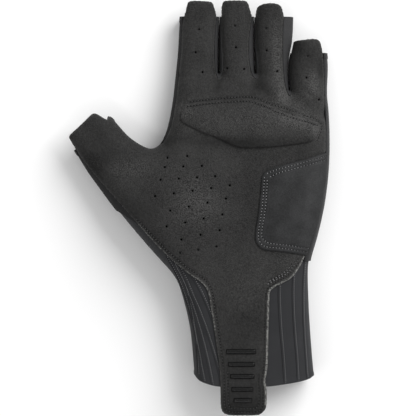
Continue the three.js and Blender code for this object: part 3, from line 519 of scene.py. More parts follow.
class Lines:
    """Distances to several lines. The nearest stretch to each place is looked up on a grid."""

    def __init__(self, lines):
        self.starts = np.concatenate([line[:-1] for line in lines])
        self.ends = np.concatenate([line[1:] for line in lines])
        self.low = self.starts.min(0) - LINES_MARGIN
        spans = self.starts.max(0) + LINES_MARGIN - self.low
        xs, ys = [self.low[k] + np.arange(0, spans[k], CHART_STEP) for k in (0, 1)]
        x, y = np.meshgrid(xs, ys, indexing="ij")
        best, self.nearest = np.full(x.shape, 1e9), np.zeros(x.shape, int)
        for k in range(len(self.starts)):
            far = self.to_stretch(x, y, k)
            closer = far < best
            best[closer] = far[closer]
            self.nearest[closer] = k

    def to_stretch(self, x, y, k):
        """Distance of each place to the stretch or stretches numbered k."""
        start, along = self.starts[k], self.ends[k] - self.starts[k]
        right, up = x - start[..., 0], y - start[..., 1]
        squared = (along ** 2).sum(-1) + 1e-12
        share = np.clip((right * along[..., 0] + up * along[..., 1]) / squared, 0, 1)
        return np.hypot(right - share * along[..., 0], up - share * along[..., 1])

    def __call__(self, points):
        x, y = points[:, 0], points[:, 1]
        last = np.array(self.nearest.shape) - 1
        cells = [np.clip(np.round((place - low) / CHART_STEP).astype(int), 0, top)
                 for place, low, top in zip((x, y), self.low, last)]
        middle = self.nearest[cells[0], cells[1]]
        close = [np.clip(middle + k, 0, len(self.starts) - 1) for k in (-1, 0, 1)]
        return functools.reduce(np.minimum, [self.to_stretch(x, y, k) for k in close])


@functools.cache
def lines(name):
    """The named lines of the plan, ready for measuring distances to them."""
    return Lines([rounded(plan(line), passes=2) for line in LINES[name]])


def outside(x, y, outline):
    """Distance of each place to a closed outline, negative inside it."""
    inside = np.zeros(np.shape(x), bool)
    loop = np.concatenate([outline, outline[:1]])
    for (ax, ay), (bx, by) in zip(loop[:-1], loop[1:]):
        if ay != by:
            inside ^= ((ay > y) != (by > y)) & (x < (bx - ax) * (y - ay) / (by - ay) + ax)
    return np.where(inside, -1, 1) * reach(x, y, loop)


def ease(value, low, high):
    """0 below low, 1 above high, and smooth in between."""
    share = np.clip((value - low) / (high - low), 0, 1)
    return share * share * (3 - 2 * share)


class Chart:
    """A value over the plan, worked out on a fine grid and read smoothly in between."""

    def __init__(self, work, softer=0):
        low = np.array(CAD_LOW[:2]) / MM - CHART_MARGIN
        high = np.array(CAD_HIGH[:2]) / MM + CHART_MARGIN
        self.low = low
        xs = np.arange(low[0], high[0], CHART_STEP)
        ys = np.arange(low[1], high[1], CHART_STEP)
        grid = work(*np.meshgrid(xs, ys, indexing="ij"))
        for _ in range(softer):
            grid = np.pad(grid, 1, mode="edge")
            grid = (grid[:-2] + 2 * grid[1:-1] + grid[2:]) / 4
            grid = (grid[:, :-2] + 2 * grid[:, 1:-1] + grid[:, 2:]) / 4
        self.grid = grid

    def __call__(self, x, y):
        value = 0
        columns, across = self.taps(x, 0)
        rows, along = self.taps(y, 1)
        for column, share in zip(columns, across):
            for row, other in zip(rows, along):
                value = value + share * other * self.grid[column, row]
        return value

    def taps(self, place, axis):
        """The four grid lines about a place, and the share each one has in it."""
        last = self.grid.shape[axis] - 3
        at = (place - self.low[axis]) / CHART_STEP
        first = np.clip(np.floor(at).astype(int), 1, last)
        t = np.clip(at - first, 0, 1)
        shares = ((-t + 2 * t * t - t ** 3) / 2, (2 - 5 * t * t + 3 * t ** 3) / 2,
                  (t + 4 * t * t - 3 * t ** 3) / 2, (t ** 3 - t * t) / 2)
        return [first + k for k in (-1, 0, 1, 2)], shares


def thumb_axes(x, y):
    """Places along and across the thumb, in plan units."""
    right = x / UNIT + PLAN_MIDDLE[0] - THUMB_END[0]
    down = PLAN_MIDDLE[1] - y / UNIT - THUMB_END[1]
    along = right * THUMB_INWARD[0] + down * THUMB_INWARD[1]
    return along, right * THUMB_INWARD[1] - down * THUMB_INWARD[0]


def thumb_share(x, y):
    """1 on the thumb, 0 on the palm and the fingers."""
    along, across = thumb_axes(x, y)
    return (1 - ease(along, *THUMB_REACH)) * (1 - ease(across, *THUMB_SIDE))


def down_plan(y, table):
    """A table's value at each y, its places being counted down the plan."""
    places, values = np.transpose(table)
    return np.interp(PLAN_MIDDLE[1] - y / UNIT, places, values)


@functools.cache
def depth_chart():
    """How deep inside the silhouette and clear of the slits a place lies."""
    outline = rounded(plan(SILHOUETTE), closed=True)
    slits = [rounded(plan(slit)) for slit in SLITS]

    def work(x, y):
        clear = [reach(x, y, slit) - SLIT_HALF for slit in slits]
        return functools.reduce(np.minimum, clear, -outside(x, y, outline))

    return Chart(work)


@functools.cache
def height_chart():
    """Height of the palm side, with its soft rises and hollows."""

    def work(x, y):
        along, _ = thumb_axes(x, y)
        share = thumb_share(x, y)
        thumb = np.interp(along, *np.transpose(THUMB_HEIGHTS))
        height = down_plan(y, HEIGHTS) * (1 - share) + share * thumb
        right, down = x / UNIT + PLAN_MIDDLE[0], PLAN_MIDDLE[1] - y / UNIT
        for middle_x, middle_y, reach_x, reach_y, rise in MOUNDS:
            height = height + rise * np.exp(-((right - middle_x) / reach_x) ** 2
                                            - ((down - middle_y) / reach_y) ** 2)
        return height

    return Chart(work, softer=HEIGHT_PASSES)


@functools.cache
def rounding_chart():
    """How far in from the silhouette the edge rounds."""

    def work(x, y):
        along, _ = thumb_axes(x, y)
        share = thumb_share(x, y)
        rounding = np.interp(along, *np.transpose(THUMB_ROUNDINGS))
        return down_plan(y, ROUNDINGS) * (1 - share) + share * rounding

    return Chart(work, softer=ROUNDING_PASSES)


@functools.cache
def leather_chart():
    """Distance to the leather's edge, negative on the leather."""
    outline = rounded(plan(LEATHER), closed=True, passes=2)

    def work(x, y):
        raw = ease(y, *plan_y(np.array(RAW_FRONTS))) + 1 - ease(y, *plan_y(np.array(RAW_TAB)))
        waves = np.sin(RAW_PACE[0] * x + 1) * np.sin(RAW_PACE[1] * y)
        return outside(x, y, outline) + RAW_WAVES * raw * waves

    return Chart(work)


@functools.cache
def slit_chart():
    """Distance to the middle of the nearest slit."""
    slits = [rounded(plan(slit)) for slit in SLITS]
    return Chart(lambda x, y: functools.reduce(np.minimum, [reach(x, y, slit) for slit in slits]))


def form(x, y, z):
    """About how far each place lies outside the filled glove, negative inside."""
    return formed(depth_chart()(x, y), height_chart()(x, y), rounding_chart()(x, y), y, z)


def formed(depth, height, rounding, y, z):
    """The form's distance from its plan values: a soft box that lies flat on the floor."""
    waist = WAIST * height
    half = np.where(z > waist, height - waist, UNDERSIDE * height)
    a = np.maximum(1 - depth / rounding, 0) + 1e-9
    b = np.abs(z - waist) / half + 1e-9
    whole = a ** SOFTNESS + b ** SOFTNESS
    level = whole ** (1 / SOFTNESS)
    steep = level / whole
    slope = np.hypot(steep * a ** (SOFTNESS - 1) / rounding, steep * b ** (SOFTNESS - 1) / half)
    skin = (level - 1) / np.maximum(slope, 0.5 / rounding)
    under = -CUFF_SINK * ease(-y, -plan_y(OUTER_STRIP_END), -plan_y(OUTER_STRIP_END + CUFF_SLOPE)) - z
    blend = np.maximum(FLOOR_ROUNDING - np.abs(skin - under), 0) / FLOOR_ROUNDING
    return np.maximum(skin, under) + blend * blend * FLOOR_ROUNDING / 4


def steepness(points, step=0.12):
    """Outward directions of the form at points, not of unit length."""
    x, y, z = points.T
    return np.stack([
        form(x + step, y, z) - form(x - step, y, z),
        form(x, y + step, z) - form(x, y - step, z),
        form(x, y, z + step) - form(x, y, z - step),
    ], 1) / (2 * step)


def outwards(points):
    """Outward directions of the form at points."""
    slope = steepness(points)
    return slope / np.maximum(np.linalg.norm(slope, axis=1, keepdims=True), 1e-9)


def settled(points, times=3):
    """Points moved onto the form's skin."""
    for _ in range(times):
        slope = steepness(points)
        far = form(*points.T) / np.maximum((slope ** 2).sum(1), 0.2)
        points = points - slope * np.clip(far, -0.6, 0.6)[:, None]
    return points


def grid_lines():
    """Places of the grid lines, closer together where the slits are."""
    lows, highs = np.array(CAD_LOW) / MM - SKIN_MARGIN, np.array(CAD_HIGH) / MM + SKIN_MARGIN
    xs = [lows[0]]
    slits = [plan(slit)[:, 0] for slit in SLITS]
    while xs[-1] < highs[0]:
        near = any(min(slit) - SLIT_MARGIN < xs[-1] < max(slit) + SLIT_MARGIN for slit in slits)
        xs.append(xs[-1] + (SLIT_STEP if near else SKIN_STEP))
    ys = np.arange(plan_y(SKIN_ROWS[0]), plan_y(SKIN_ROWS[1]), SKIN_STEP)
    zs = np.arange(-CUFF_SINK - 2.1 * SKIN_STEP, highs[2], SKIN_STEP)
    return np.array(xs), ys, zs


@functools.cache
def skin():
    """The filled glove's closed skin: points and triangles that face outwards."""
    steps = grid_lines()
    flat = np.meshgrid(steps[0], steps[1], indexing="ij")
    plans = [chart(*flat)[:, :, None] for chart in (depth_chart(), height_chart(), rounding_chart())]
    levels = formed(*plans, flat[1][:, :, None], steps[2][None, None, :])
    inner = levels < 0
    corners = [(i, j, k) for i in (0, 1) for j in (0, 1) for k in (0, 1)]
    shape = np.array(levels.shape) - 1

    def shifted(grid, corner):
        i, j, k = corner
        return grid[i:i + shape[0], j:j + shape[1], k:k + shape[2]]

    count = sum(shifted(inner, corner).astype(int) for corner in corners)
    cells = np.argwhere((count > 0) & (count < 8))
    number = np.full(shape, -1)
    number[tuple(cells.T)] = np.arange(len(cells))
    total, crossings = np.zeros((len(cells), 3)), np.zeros(len(cells))
    for first in corners:
        for axis in range(3):
            if first[axis]:
                continue
            second = tuple(1 if k == axis else first[k] for k in range(3))
            one, two = cells + first, cells + second
            a, b = levels[tuple(one.T)], levels[tuple(two.T)]
            crossed = (a < 0) != (b < 0)
            share = np.where(crossed, a / np.where(crossed, a - b, 1), 0)
            for k in range(3):
                start, end = steps[k][one[:, k]], steps[k][two[:, k]]
                total[:, k] += np.where(crossed, start + share * (end - start), 0)
            crossings += crossed
    points = total / crossings[:, None]
    faces = []
    for axis in range(3):
        ahead = np.roll(inner, -1, axis)
        u, v = [k for k in range(3) if k != axis]
        for sign, mixed in ((1, inner & ~ahead), (-1, ~inner & ahead)):
            spots = np.argwhere(mixed)
            fits = (spots[:, axis] < shape[axis]) & (spots[:, u] > 0) & (spots[:, v] > 0)
            spots = spots[fits & (spots[:, u] < shape[u]) & (spots[:, v] < shape[v])]
            around = []
            for back_u, back_v in ((1, 1), (0, 1), (0, 0), (1, 0)):
                cell = spots.copy()
                cell[:, u] -= back_u
                cell[:, v] -= back_v
                around.append(number[tuple(cell.T)])
            if (sign < 0) != (axis == 1):
                around.reverse()
            a, b, c, d = around
            faces += [np.stack([a, b, c], 1), np.stack([a, c, d], 1)]
    return settled(points, 4), np.concatenate(faces)


def finer(points, faces, wanted, passes=2):
    """Triangles split in halves where their edges are longer than what is wanted there."""
    for _ in range(passes):
        corner = points[faces]
        after = corner[:, [1, 2, 0]]
        middle = (corner + after) / 2
        length = np.linalg.norm(after - corner, axis=2)
        marked = length > 1.35 * wanted(middle.reshape(-1, 3)).reshape(length.shape)
        both = np.sort(np.stack([faces, faces[:, [1, 2, 0]]], 2), 2)
        keys = both[:, :, 0] * len(points) + both[:, :, 1]
        split = np.unique(keys[marked])
        place = np.searchsorted(split, keys)
        marked = (place < len(split)) & (split[np.minimum(place, len(split) - 1)] == keys)
        new = len(points) + place
        halves = (points[split // len(points)] + points[split % len(points)]) / 2
        points = np.concatenate([points, settled(halves, 2)])
        parts = [faces[~marked.any(1)]]
        count = marked.sum(1)
        for turn in range(3):
            order = [(turn + k) % 3 for k in range(3)]
            f, m, n = faces[:, order], marked[:, order], new[:, order]
            one = (count == 1) & m[:, 0]
            parts += [np.stack([f[one, 0], n[one, 0], f[one, 2]], 1),
                      np.stack([n[one, 0], f[one, 1], f[one, 2]], 1)]
            two = (count == 2) & m[:, 0] & m[:, 1]
            parts += [np.stack([n[two, 0], f[two, 1], n[two, 1]], 1),
                      np.stack([f[two, 0], n[two, 0], n[two, 1]], 1),
                      np.stack([f[two, 0], n[two, 1], f[two, 2]], 1)]
        full = count == 3
        f, n = faces[full], new[full]
        parts += [np.stack([f[:, 0], n[:, 0], n[:, 2]], 1), np.stack([n[:, 0], f[:, 1], n[:, 1]], 1),
                  np.stack([n[:, 2], n[:, 1], f[:, 2]], 1), np.stack([n[:, 0], n[:, 1], n[:, 2]], 1)]
        faces = np.concatenate(parts)
    return points, faces


def trimmed(points, faces, cut, snap=0.16):
    """What lies where the cut is negative, its edge lying on the cut's own line."""
    step = 0.05
    level = cut(points)
    close = np.abs(level) < snap
    near = points[close]
    slope = np.stack([(cut(near + shift) - cut(near - shift)) / (2 * step)
                      for shift in step * np.eye(3)], 1)
    near = near - slope * (level[close] / np.maximum((slope ** 2).sum(1), 0.3))[:, None]
    points = points.copy()
    points[close] = near
    level[close] = 0
    sign = np.sign(level).astype(int)
    signs = sign[faces]
    whole = faces[(signs.max(1) <= 0) & (signs.min(1) < 0)]
    mixed = faces[(signs.max(1) > 0) & (signs.min(1) < 0)]
    added, known, cuts = [], {}, []

    def crossing(a, b):
        key = (min(a, b), max(a, b))
        if key not in known:
            share = level[a] / (level[a] - level[b])
            known[key] = len(points) + len(added)
            added.append(points[a] + share * (points[b] - points[a]))
        return known[key]

    for face in mixed.tolist():
        kept = []
        for a, b in zip(face, face[1:] + face[:1]):
            if sign[a] <= 0:
                kept.append(a)
            if sign[a] * sign[b] < 0:
                kept.append(crossing(a, b))
        cuts += [(kept[0], kept[k], kept[k + 1]) for k in range(1, len(kept) - 1)]
    if added:
        points = np.concatenate([points, np.array(added)])
    faces = np.concatenate([whole, np.array(cuts, int).reshape(-1, 3)])
    return tidied(points, faces)


def tidied(points, faces):
    """The same triangles, with the points that none of them uses left out."""
    used, faces = np.unique(faces, return_inverse=True)
    return points[used], faces.reshape(-1, 3)


def rim_edges(faces):
    """The edges that only one triangle has, each in its triangle's direction."""
    edges = np.concatenate([faces[:, [0, 1]], faces[:, [1, 2]], faces[:, [2, 0]]])
    keys = np.sort(edges, 1)
    _, first, count = np.unique(keys, axis=0, return_index=True, return_counts=True)
    return edges[first[count == 1]]


def walled(points, faces, outer, inner, bulge=0.0):
    """A closed wall about a sheet: its outer and inner face, and a rounded rim between them."""
    normals = outwards(points)
    outer = np.broadcast_to(outer, len(points))
    inner = np.broadcast_to(inner, len(points))
    edges = rim_edges(faces)
    sideways = np.zeros_like(points)
    along = points[edges[:, 1]] - points[edges[:, 0]]
    for k in (0, 1):
        np.add.at(sideways, edges[:, k], np.cross(along, normals[edges[:, k]]))
    rim = np.unique(edges)
    sideways = sideways[rim] / np.maximum(np.linalg.norm(sideways[rim], axis=1, keepdims=True), 1e-9)
    middle = points[rim] + sideways * bulge + normals[rim] * ((outer + inner) / 2)[rim, None]
    place = np.zeros(len(points), int)
    place[rim] = 2 * len(points) + np.arange(len(rim))
    a, b = edges.T
    n = len(points)
    mid_a, mid_b = place[a], place[b]
    quads = np.concatenate([np.stack([b, a, mid_a, mid_b], 1), np.stack([mid_b, mid_a, a + n, b + n], 1)])
    rims = np.concatenate([quads[:, [0, 1, 2]], quads[:, [0, 2, 3]]])
    points = np.concatenate([points + normals * outer[:, None], points + normals * inner[:, None], middle])
    faces = np.concatenate([faces, faces[:, ::-1] + n, rims])
    return points, faces


def piece(name, points, faces, material, sharp=0.7):
    """A finished mesh object, its place in its mesh."""
    mesh = bpy.data.meshes.new(name)
    mesh.vertices.add(len(points))
    mesh.vertices.foreach_set("co", (points * MM).astype(np.float32).ravel())
    mesh.loops.add(faces.size)
    mesh.loops.foreach_set("vertex_index", faces.astype(np.int32).ravel())
    mesh.polygons.add(len(faces))
    mesh.polygons.foreach_set("loop_start", np.arange(0, faces.size, 3, dtype=np.int32))
    mesh.materials.append(material)
    mesh.update(calc_edges=True)
    mesh.validate()
    mesh.shade_smooth()
    mesh.set_sharp_from_angle(angle=sharp)
    made = bpy.data.objects.new(name, mesh)
    bpy.context.collection.objects.link(made)
    return made


def painted(made, name, shade):
    """Stores a value at every point of a piece, worked out from its place."""
    places = np.empty(3 * len(made.data.vertices), np.float32)
    made.data.vertices.foreach_get("co", places)
    values = shade(places.reshape(-1, 3) / MM).astype(np.float32)
    made.data.attributes.new(name, "FLOAT", "POINT").data.foreach_set("value", values)


def painted_light_and_wear(points):
    """How much paler or darker each place is painted: painted highlights and painted shade, with some wear
    of the nap.
    """
    right, down = points[:, 0] / UNIT + PLAN_MIDDLE[0], PLAN_MIDDLE[1] - points[:, 1] / UNIT
    wear = np.zeros(len(points))
    for middle_x, middle_y, reach_x, reach_y, amount in PAINTED_LIGHT_AND_WEAR:
        wear += amount * np.exp(-((right - middle_x) / reach_x) ** 2 - ((down - middle_y) / reach_y) ** 2)
    return wear


def frayed(points):
    """How pale the leather's cut edge is at each place: 0 away from it."""
    near = ease(-np.abs(leather_chart()(points[:, 0], points[:, 1])), -FRAY_REACH[0], -FRAY_REACH[1])
    amount = np.full(len(points), PLAIN_FRAY)
    for name, share in FRAY.items():
        amount = np.maximum(amount, share * (lines(name)(points) < FRAY_NEAR))
    return near * amount


def dressed(made, slot, *nodes):
    """A piece that rides on the glove and stands for its nodes."""
    if nodes:
        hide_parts(*nodes)
    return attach(made, "root")


def seam_x(y, seam):
    """Where a side seam runs at each y."""
    places = plan(rounded(seam))
    return np.interp(-y, -places[:, 1], places[:, 0])


def line_y(x, line):
    """Where a line across the glove runs at each x."""
    places = plan(rounded(line))
    return np.interp(x, places[:, 0], places[:, 1])


def on_leather(points):
    """Negative on the leather, which keeps to the upper half."""
    return np.maximum(leather_chart()(points[:, 0], points[:, 1]), SEAM_HEIGHT - points[:, 2])


def off_leather(points):
    """Negative clear of the leather."""
    return size("seam_gap") - on_leather(points)


def in_fork(points):
    """Negative on the side walls between the fingers."""
    bound = FORK_LOW + FORK_WIDER * ease(points[:, 2], *FORK_WIDENS)
    return slit_chart()(points[:, 0], points[:, 1]) - bound


def in_index_strip(points):
    """Negative on the strip down the outer side of the index finger."""
    above = plan_y(INDEX_STRIP_END) - points[:, 1]
    return np.maximum(points[:, 0] - seam_x(points[:, 1], INDEX_SEAM), above)


def in_outer_strip(points):
    """Negative on the strip down the little-finger side."""
    above = plan_y(OUTER_STRIP_END) - points[:, 1]
    return np.maximum(seam_x(points[:, 1], OUTER_SEAM) - points[:, 0], above)


def off_fork(points):
    """Negative clear of the walls between the fingers."""
    return size("seam_gap") - in_fork(points)


def off_strips(points):
    """Negative clear of both side strips."""
    return size("seam_gap") - np.minimum(in_index_strip(points), in_outer_strip(points))


def within_hems(points):
    """Negative short of the side hems of the fingers and the thumb."""
    x, y = points[:, 0], points[:, 1]
    edges = [slit_x(y, slit) for slit in SLITS]
    finger = sum((x > edge).astype(int) for edge in edges)
    hem = plan_y(np.array(FINGER_HEMS))[finger]
    along, across = thumb_axes(x, y)
    thumb = np.where(across < THUMB_SIDE[1], (THUMB_HEM - along) * UNIT, -FAR)
    return np.maximum(y - hem, thumb)


def slit_x(y, slit):
    """Where a slit runs at each y."""
    places = plan(slit)
    return np.interp(y, places[:, 1], places[:, 0])


def above_wrist(points):
    """Negative on the hand's side of the back's edge over the cuff."""
    return line_y(points[:, 0], BACK_EDGE) - points[:, 1]


def hem_fold(points):
    """How far a hem stands up where the cloth is turned over."""
    return HEM_RISE * ease(within_hems(points), *HEM_FOLD)


def holes():
    """Middles of the punched holes."""
    spots = list(FINGER_VENTS)
    for start, end, count in VENT_ROWS:
        for k in range(count):
            share = k / (count - 1)
            spots.append([a + share * (b - a) for a, b in zip(start, end)])
    return plan(spots)


def hole_reach(points):
    """Distance to the nearest hole's middle."""
    nearest = np.full(len(points), 1e9)
    for x, y in holes():
        nearest = np.minimum(nearest, np.hypot(points[:, 0] - x, points[:, 1] - y))
    return nearest


def hollow(far, depth, breadth):
    """How deep a rounded hollow is at a distance from its line."""
    return depth * np.exp(-(far / breadth) ** 2)


def leather_relief(points):
    """Folds, sunk stitch rows and dished hole rims of the leather, in millimetres."""
    x, y = points[:, 0], points[:, 1]
    rise = np.zeros(len(points))
    for start, end, breadth, height in FOLDS:
        rise += hollow(reach(x, y, plan([start, end])), height, breadth)
    rise -= hollow(lines("leather rows")(points), *ROW_HOLLOW)
    rise -= hollow(np.minimum(-leather_chart()(x, y), FAR), *EDGE_HOLLOW)
    rise -= hollow(hole_reach(points) - size("hole") / 2, *HOLE_HOLLOW)
    rise -= hollow(lines("pad edge")(points), *PAD_HOLLOW)
    rise -= hollow(lines("patch edge")(points), *PATCH_HOLLOW)
    return rise * ease(points[:, 2], *RELIEF_STARTS)


def on_form(spots, rise, start=ABOVE, way=1):
    """Plan places moved down, or up from below, onto the form, with the skin's directions there."""
    points = np.column_stack([spots, np.full(len(spots), start)])
    for _ in range(60):
        points[:, 2] -= way * np.clip(form(*points.T), -1, 1) * 0.8
    normals = outwards(points)
    return points + normals * np.reshape(rise(points), (-1, 1)), normals


def stepped(line, step=0.8):
    """A round line with a point at every step."""
    line = rounded(plan(line), passes=3)
    lengths = np.concatenate([[0], np.cumsum(np.linalg.norm(np.diff(line, axis=0), axis=1))])
    places = np.linspace(0, lengths[-1], max(int(lengths[-1] / step), 2))
    return np.column_stack([np.interp(places, lengths, line[:, k]) for k in (0, 1)])


class Nodes:
    """A tree of nodes that is built one node at a time."""

    def __init__(self, tree):
        self.tree = tree

    def add(self, kind, settings=None, inputs=None, output=0):
        """A node of a type, with its settings made first and its sockets fed after them."""
        node = self.tree.nodes.new(kind)
        for name, value in (settings or {}).items():
            setattr(node, name, value)
        for name, value in (inputs or {}).items():
            self.feed(node.inputs[name], value)
        return Level(self, node.outputs[output])

    def feed(self, socket, value):
        """Puts a value into a socket, or links another socket to it."""
        if isinstance(value, Level):
            self.tree.links.new(value.socket, socket)
        else:
            socket.default_value = value


class Level:
    """A socket's value, which can be reckoned with."""

    def __init__(self, nodes, socket):
        self.nodes, self.socket = nodes, socket

    def reckon(self, operation, one, two):
        """One step of arithmetic."""
        return self.nodes.add("ShaderNodeMath", {"operation": operation}, {0: one, 1: two})

    def __add__(self, other):
        return self.reckon("ADD", self, other)

    def __radd__(self, other):
        return self.reckon("ADD", other, self)

    def __sub__(self, other):
        return self.reckon("SUBTRACT", self, other)

    def __rsub__(self, other):
        return self.reckon("SUBTRACT", other, self)

    def __mul__(self, other):
        return self.reckon("MULTIPLY", self, other)

    def __rmul__(self, other):
        return self.reckon("MULTIPLY", other, self)


class Finish(Nodes):
    """A material with one principled shader and millimetre coordinates."""

    def __init__(self, name, constants):
        self.material = bpy.data.materials.new(name)
        self.material.use_nodes = True
        super().__init__(self.material.node_tree)
        self.shader = self.tree.nodes["Principled BSDF"]
        for socket, value in constants.items():
            self.shader.inputs[socket].default_value = value
        place = self.add("ShaderNodeTexCoord", output=3)
        self.place = self.vector("SCALE", place, Scale=1 / MM)

    def vector(self, operation, one, two=None, **others):
        """One step of arithmetic on vectors."""
        inputs = {0: one, **others}
        if two is not None:
            inputs[1] = two
        return self.add("ShaderNodeVectorMath", {"operation": operation}, inputs)

    def noise(self, scale, detail=2.0, stretch=None, rough=0.5):
        """Cloudy values, scale being how many there are to a millimetre."""
        place = self.place if stretch is None else self.vector("MULTIPLY", self.place, stretch)
        return self.add("ShaderNodeTexNoise", inputs={
            "Vector": place, "Scale": scale, "Detail": detail, "Roughness": rough})

    def attribute(self, name):
        """A value that is stored at the piece's points."""
        return self.add("ShaderNodeAttribute", {"attribute_name": name}, output=2)

    def wave(self, scale, direction, warp=0.0):
        """Stripes, about three to the millimetre at a scale of one."""
        return self.add("ShaderNodeTexWave", {"bands_direction": direction}, {
            "Vector": self.place, "Scale": scale, "Distortion": warp, "Detail": 1.0}, output=1)

    def between(self, share, one, two):
        """A colour between two others, each a colour or another node's."""
        one, two = [tone if isinstance(tone, Level) else (*tone, 1) for tone in (one, two)]
        return self.add("ShaderNodeMix", {"data_type": "RGBA", "clamp_factor": True}, {
            0: share, 6: one, 7: two}, output=2)

    def finish(self, tone, rough, height, strength, depth):
        """Feeds the shader: colour, roughness and a bump of a depth in millimetres."""
        self.feed(self.shader.inputs["Base Color"], tone)
        self.feed(self.shader.inputs["Roughness"], rough)
        bump = self.add("ShaderNodeBump", inputs={
            "Height": height, "Strength": strength, "Distance": depth * MM})
        self.feed(self.shader.inputs["Normal"], bump)
        return self.material


def shades(tone, dark, pale):
    """A darker and a paler shade of a colour."""
    return tuple(c * dark for c in tone), tuple(min(c * pale, 1) for c in tone)


@functools.cache
def suede():
    """Suede-like leather: a fine grain, lightened and darkened by painted highlights and painted shade with
    some wear, its grain coarser where these are strong, pale along its raw edges.
    """
    f = Finish("palm_suede", {"Sheen Weight": 0.03, "Sheen Roughness": 0.4, "Specular IOR Level": 0.16})
    grain = f.noise(1.8, 3, rough=0.6)
    pebbles = f.noise(0.8, 2, rough=0.6)
    cloud = f.noise(0.05, 2)
    nap = f.noise(0.9, 2, (1.0, 0.35, 1.0))
    # Painted highlights and painted shade, with some wear, stored at the points: they lighten and darken
    # the tone and make the grain sparkle more in the highlights.
    wear = f.attribute("wear")
    fray = f.attribute("fray")
    coarse = (grain - 0.5) * (wear * 15 + 2.7)
    shade = coarse + (pebbles - 0.5) * 0.9 + (cloud - 0.5) * 0.9 + (nap - 0.5) * 0.5
    tone = f.between((shade * 0.7 + wear) * 0.6 + 0.245, *shades(colour("leather"), 0.35, 2.9))
    loose = f.noise(1.1, 3, rough=0.8)
    edged = f.between((loose - 0.44) * 9 * fray, tone, colour("raw_edge"))
    return f.finish(edged, grain * 0.25 + 0.55, grain + nap * 0.2 + pebbles * 0.5, 0.8, 0.4)


@functools.cache
def smooth_leather():
    """Smoother, slightly cooler leather of the heel patch."""
    f = Finish("patch_leather", {"Sheen Weight": 0.02, "Specular IOR Level": 0.2})
    grain = f.noise(1.3, 3, rough=0.7)
    cloud = f.noise(0.11, 2)
    tone = f.between((grain - 0.5) * 1.8 + (cloud - 0.5) * 1.4 + 0.45, *shades(colour("patch"), 0.5, 1.6))
    return f.finish(tone, grain * 0.2 + 0.48, grain, 0.5, 0.22)


@functools.cache
def stretch_cloth(name):
    """Fine stretch cloth with a slanting knit."""
    f = Finish(name + "_cloth", {"Specular IOR Level": 0.08})
    rows = f.wave(7.5, "DIAGONAL")
    loops = f.wave(9.5, "Y")
    tone = f.between(rows * 0.5 + loops * 0.3 + (f.noise(0.2) - 0.5) * 0.6,
                     *shades(colour(name), 0.75, 1.3))
    return f.finish(tone, loops * 0.1 + 0.68, rows * 0.6 + loops * 0.4, 0.4, 0.12)


@functools.cache
def satin():
    """Dark satin with faint lengthways threads."""
    f = Finish("satin_strip", {"Specular IOR Level": 0.14})
    threads = f.wave(12, "X", 0.4)
    tone = f.between(threads * 0.7 + (f.noise(0.15) - 0.5) * 0.8 + 0.1, *shades(colour("satin"), 0.8, 1.5))
    return f.finish(tone, threads * 0.1 + 0.42, threads, 0.25, 0.08)


@functools.cache
def knit():
    """Elastic knit of the cuff: fine upright wales crossed by finer rows."""
    f = Finish("cuff_knit", {"Sheen Weight": 0.02, "Specular IOR Level": 0.16})
    wales = f.wave(10, "X", 0.3)
    rows = f.wave(8, "Y", 0.2)
    cloud = f.noise(0.12, 2)
    tone = f.between(wales * 0.5 + rows * 0.25 + (cloud - 0.5) * 0.7 + 0.1,
                     *shades(colour("knit"), 0.78, 1.22))
    return f.finish(tone, rows * 0.1 + 0.66, wales * 0.7 + rows * 0.4, 0.4, 0.1)


@functools.cache
def thread(name):
    """Twisted sewing thread, and the near-black beads that stand for painted shade in the needle holes."""
    f = Finish(name, {"Specular IOR Level": 0.1 if name == "prick" else 0.4})
    twist = f.wave(16, "DIAGONAL", 1.0)
    tone = f.between(twist, *shades(colour(name), 0.6, 1.4))
    return f.finish(tone, twist * 0.15 + 0.38, twist, 0.4, 0.06)


@functools.cache
def silicone():
    """Glossy black silicone with a faintly uneven face."""
    f = Finish("silicone", {"Specular IOR Level": 0.28})
    wet = f.noise(0.9, 2)
    tone = f.between(wet, *shades(colour("silicone"), 0.7, 1.4))
    return f.finish(tone, wet * 0.16 + 0.06, wet, 0.5, 0.3)


@functools.cache
def backdrop():
    """Pale plain floor."""
    f = Finish("backdrop", {"Specular IOR Level": 0.1})
    cloud = f.noise(0.01, 1)
    tone = f.between(cloud, (0.9, 0.9, 0.9), (0.93, 0.93, 0.93))
    return f.finish(tone, cloud * 0.02 + 0.9, cloud, 0.0, 0.01)


def tree_with(name, inputs):
    """An empty tree of geometry nodes with named inputs, and its nodes."""
    tree = bpy.data.node_groups.new(name, "GeometryNodeTree")
    tree.interface.new_socket("Geometry", in_out="INPUT", socket_type="NodeSocketGeometry")
    for label, kind in inputs.items():
        tree.interface.new_socket(label, in_out="INPUT", socket_type=kind)
    tree.interface.new_socket("Geometry", in_out="OUTPUT", socket_type="NodeSocketGeometry")
    nodes = Nodes(tree)
    given = tree.nodes.new("NodeGroupInput")
    sockets = {socket.name: Level(nodes, socket) for socket in given.outputs if socket.name}
    return tree, nodes, sockets


def closing(tree, nodes, shape, material):
    """Ends a tree: instances made real, a material set, and the result handed out."""
    real = nodes.add("GeometryNodeRealizeInstances", inputs={"Geometry": shape})
    even = nodes.add("GeometryNodeSetShadeSmooth", inputs={"Geometry": real})
    clad = nodes.add("GeometryNodeSetMaterial", inputs={"Geometry": even, "Material": material})
    result = tree.nodes.new("NodeGroupOutput")
    nodes.feed(result.inputs[0], clad)
    return tree


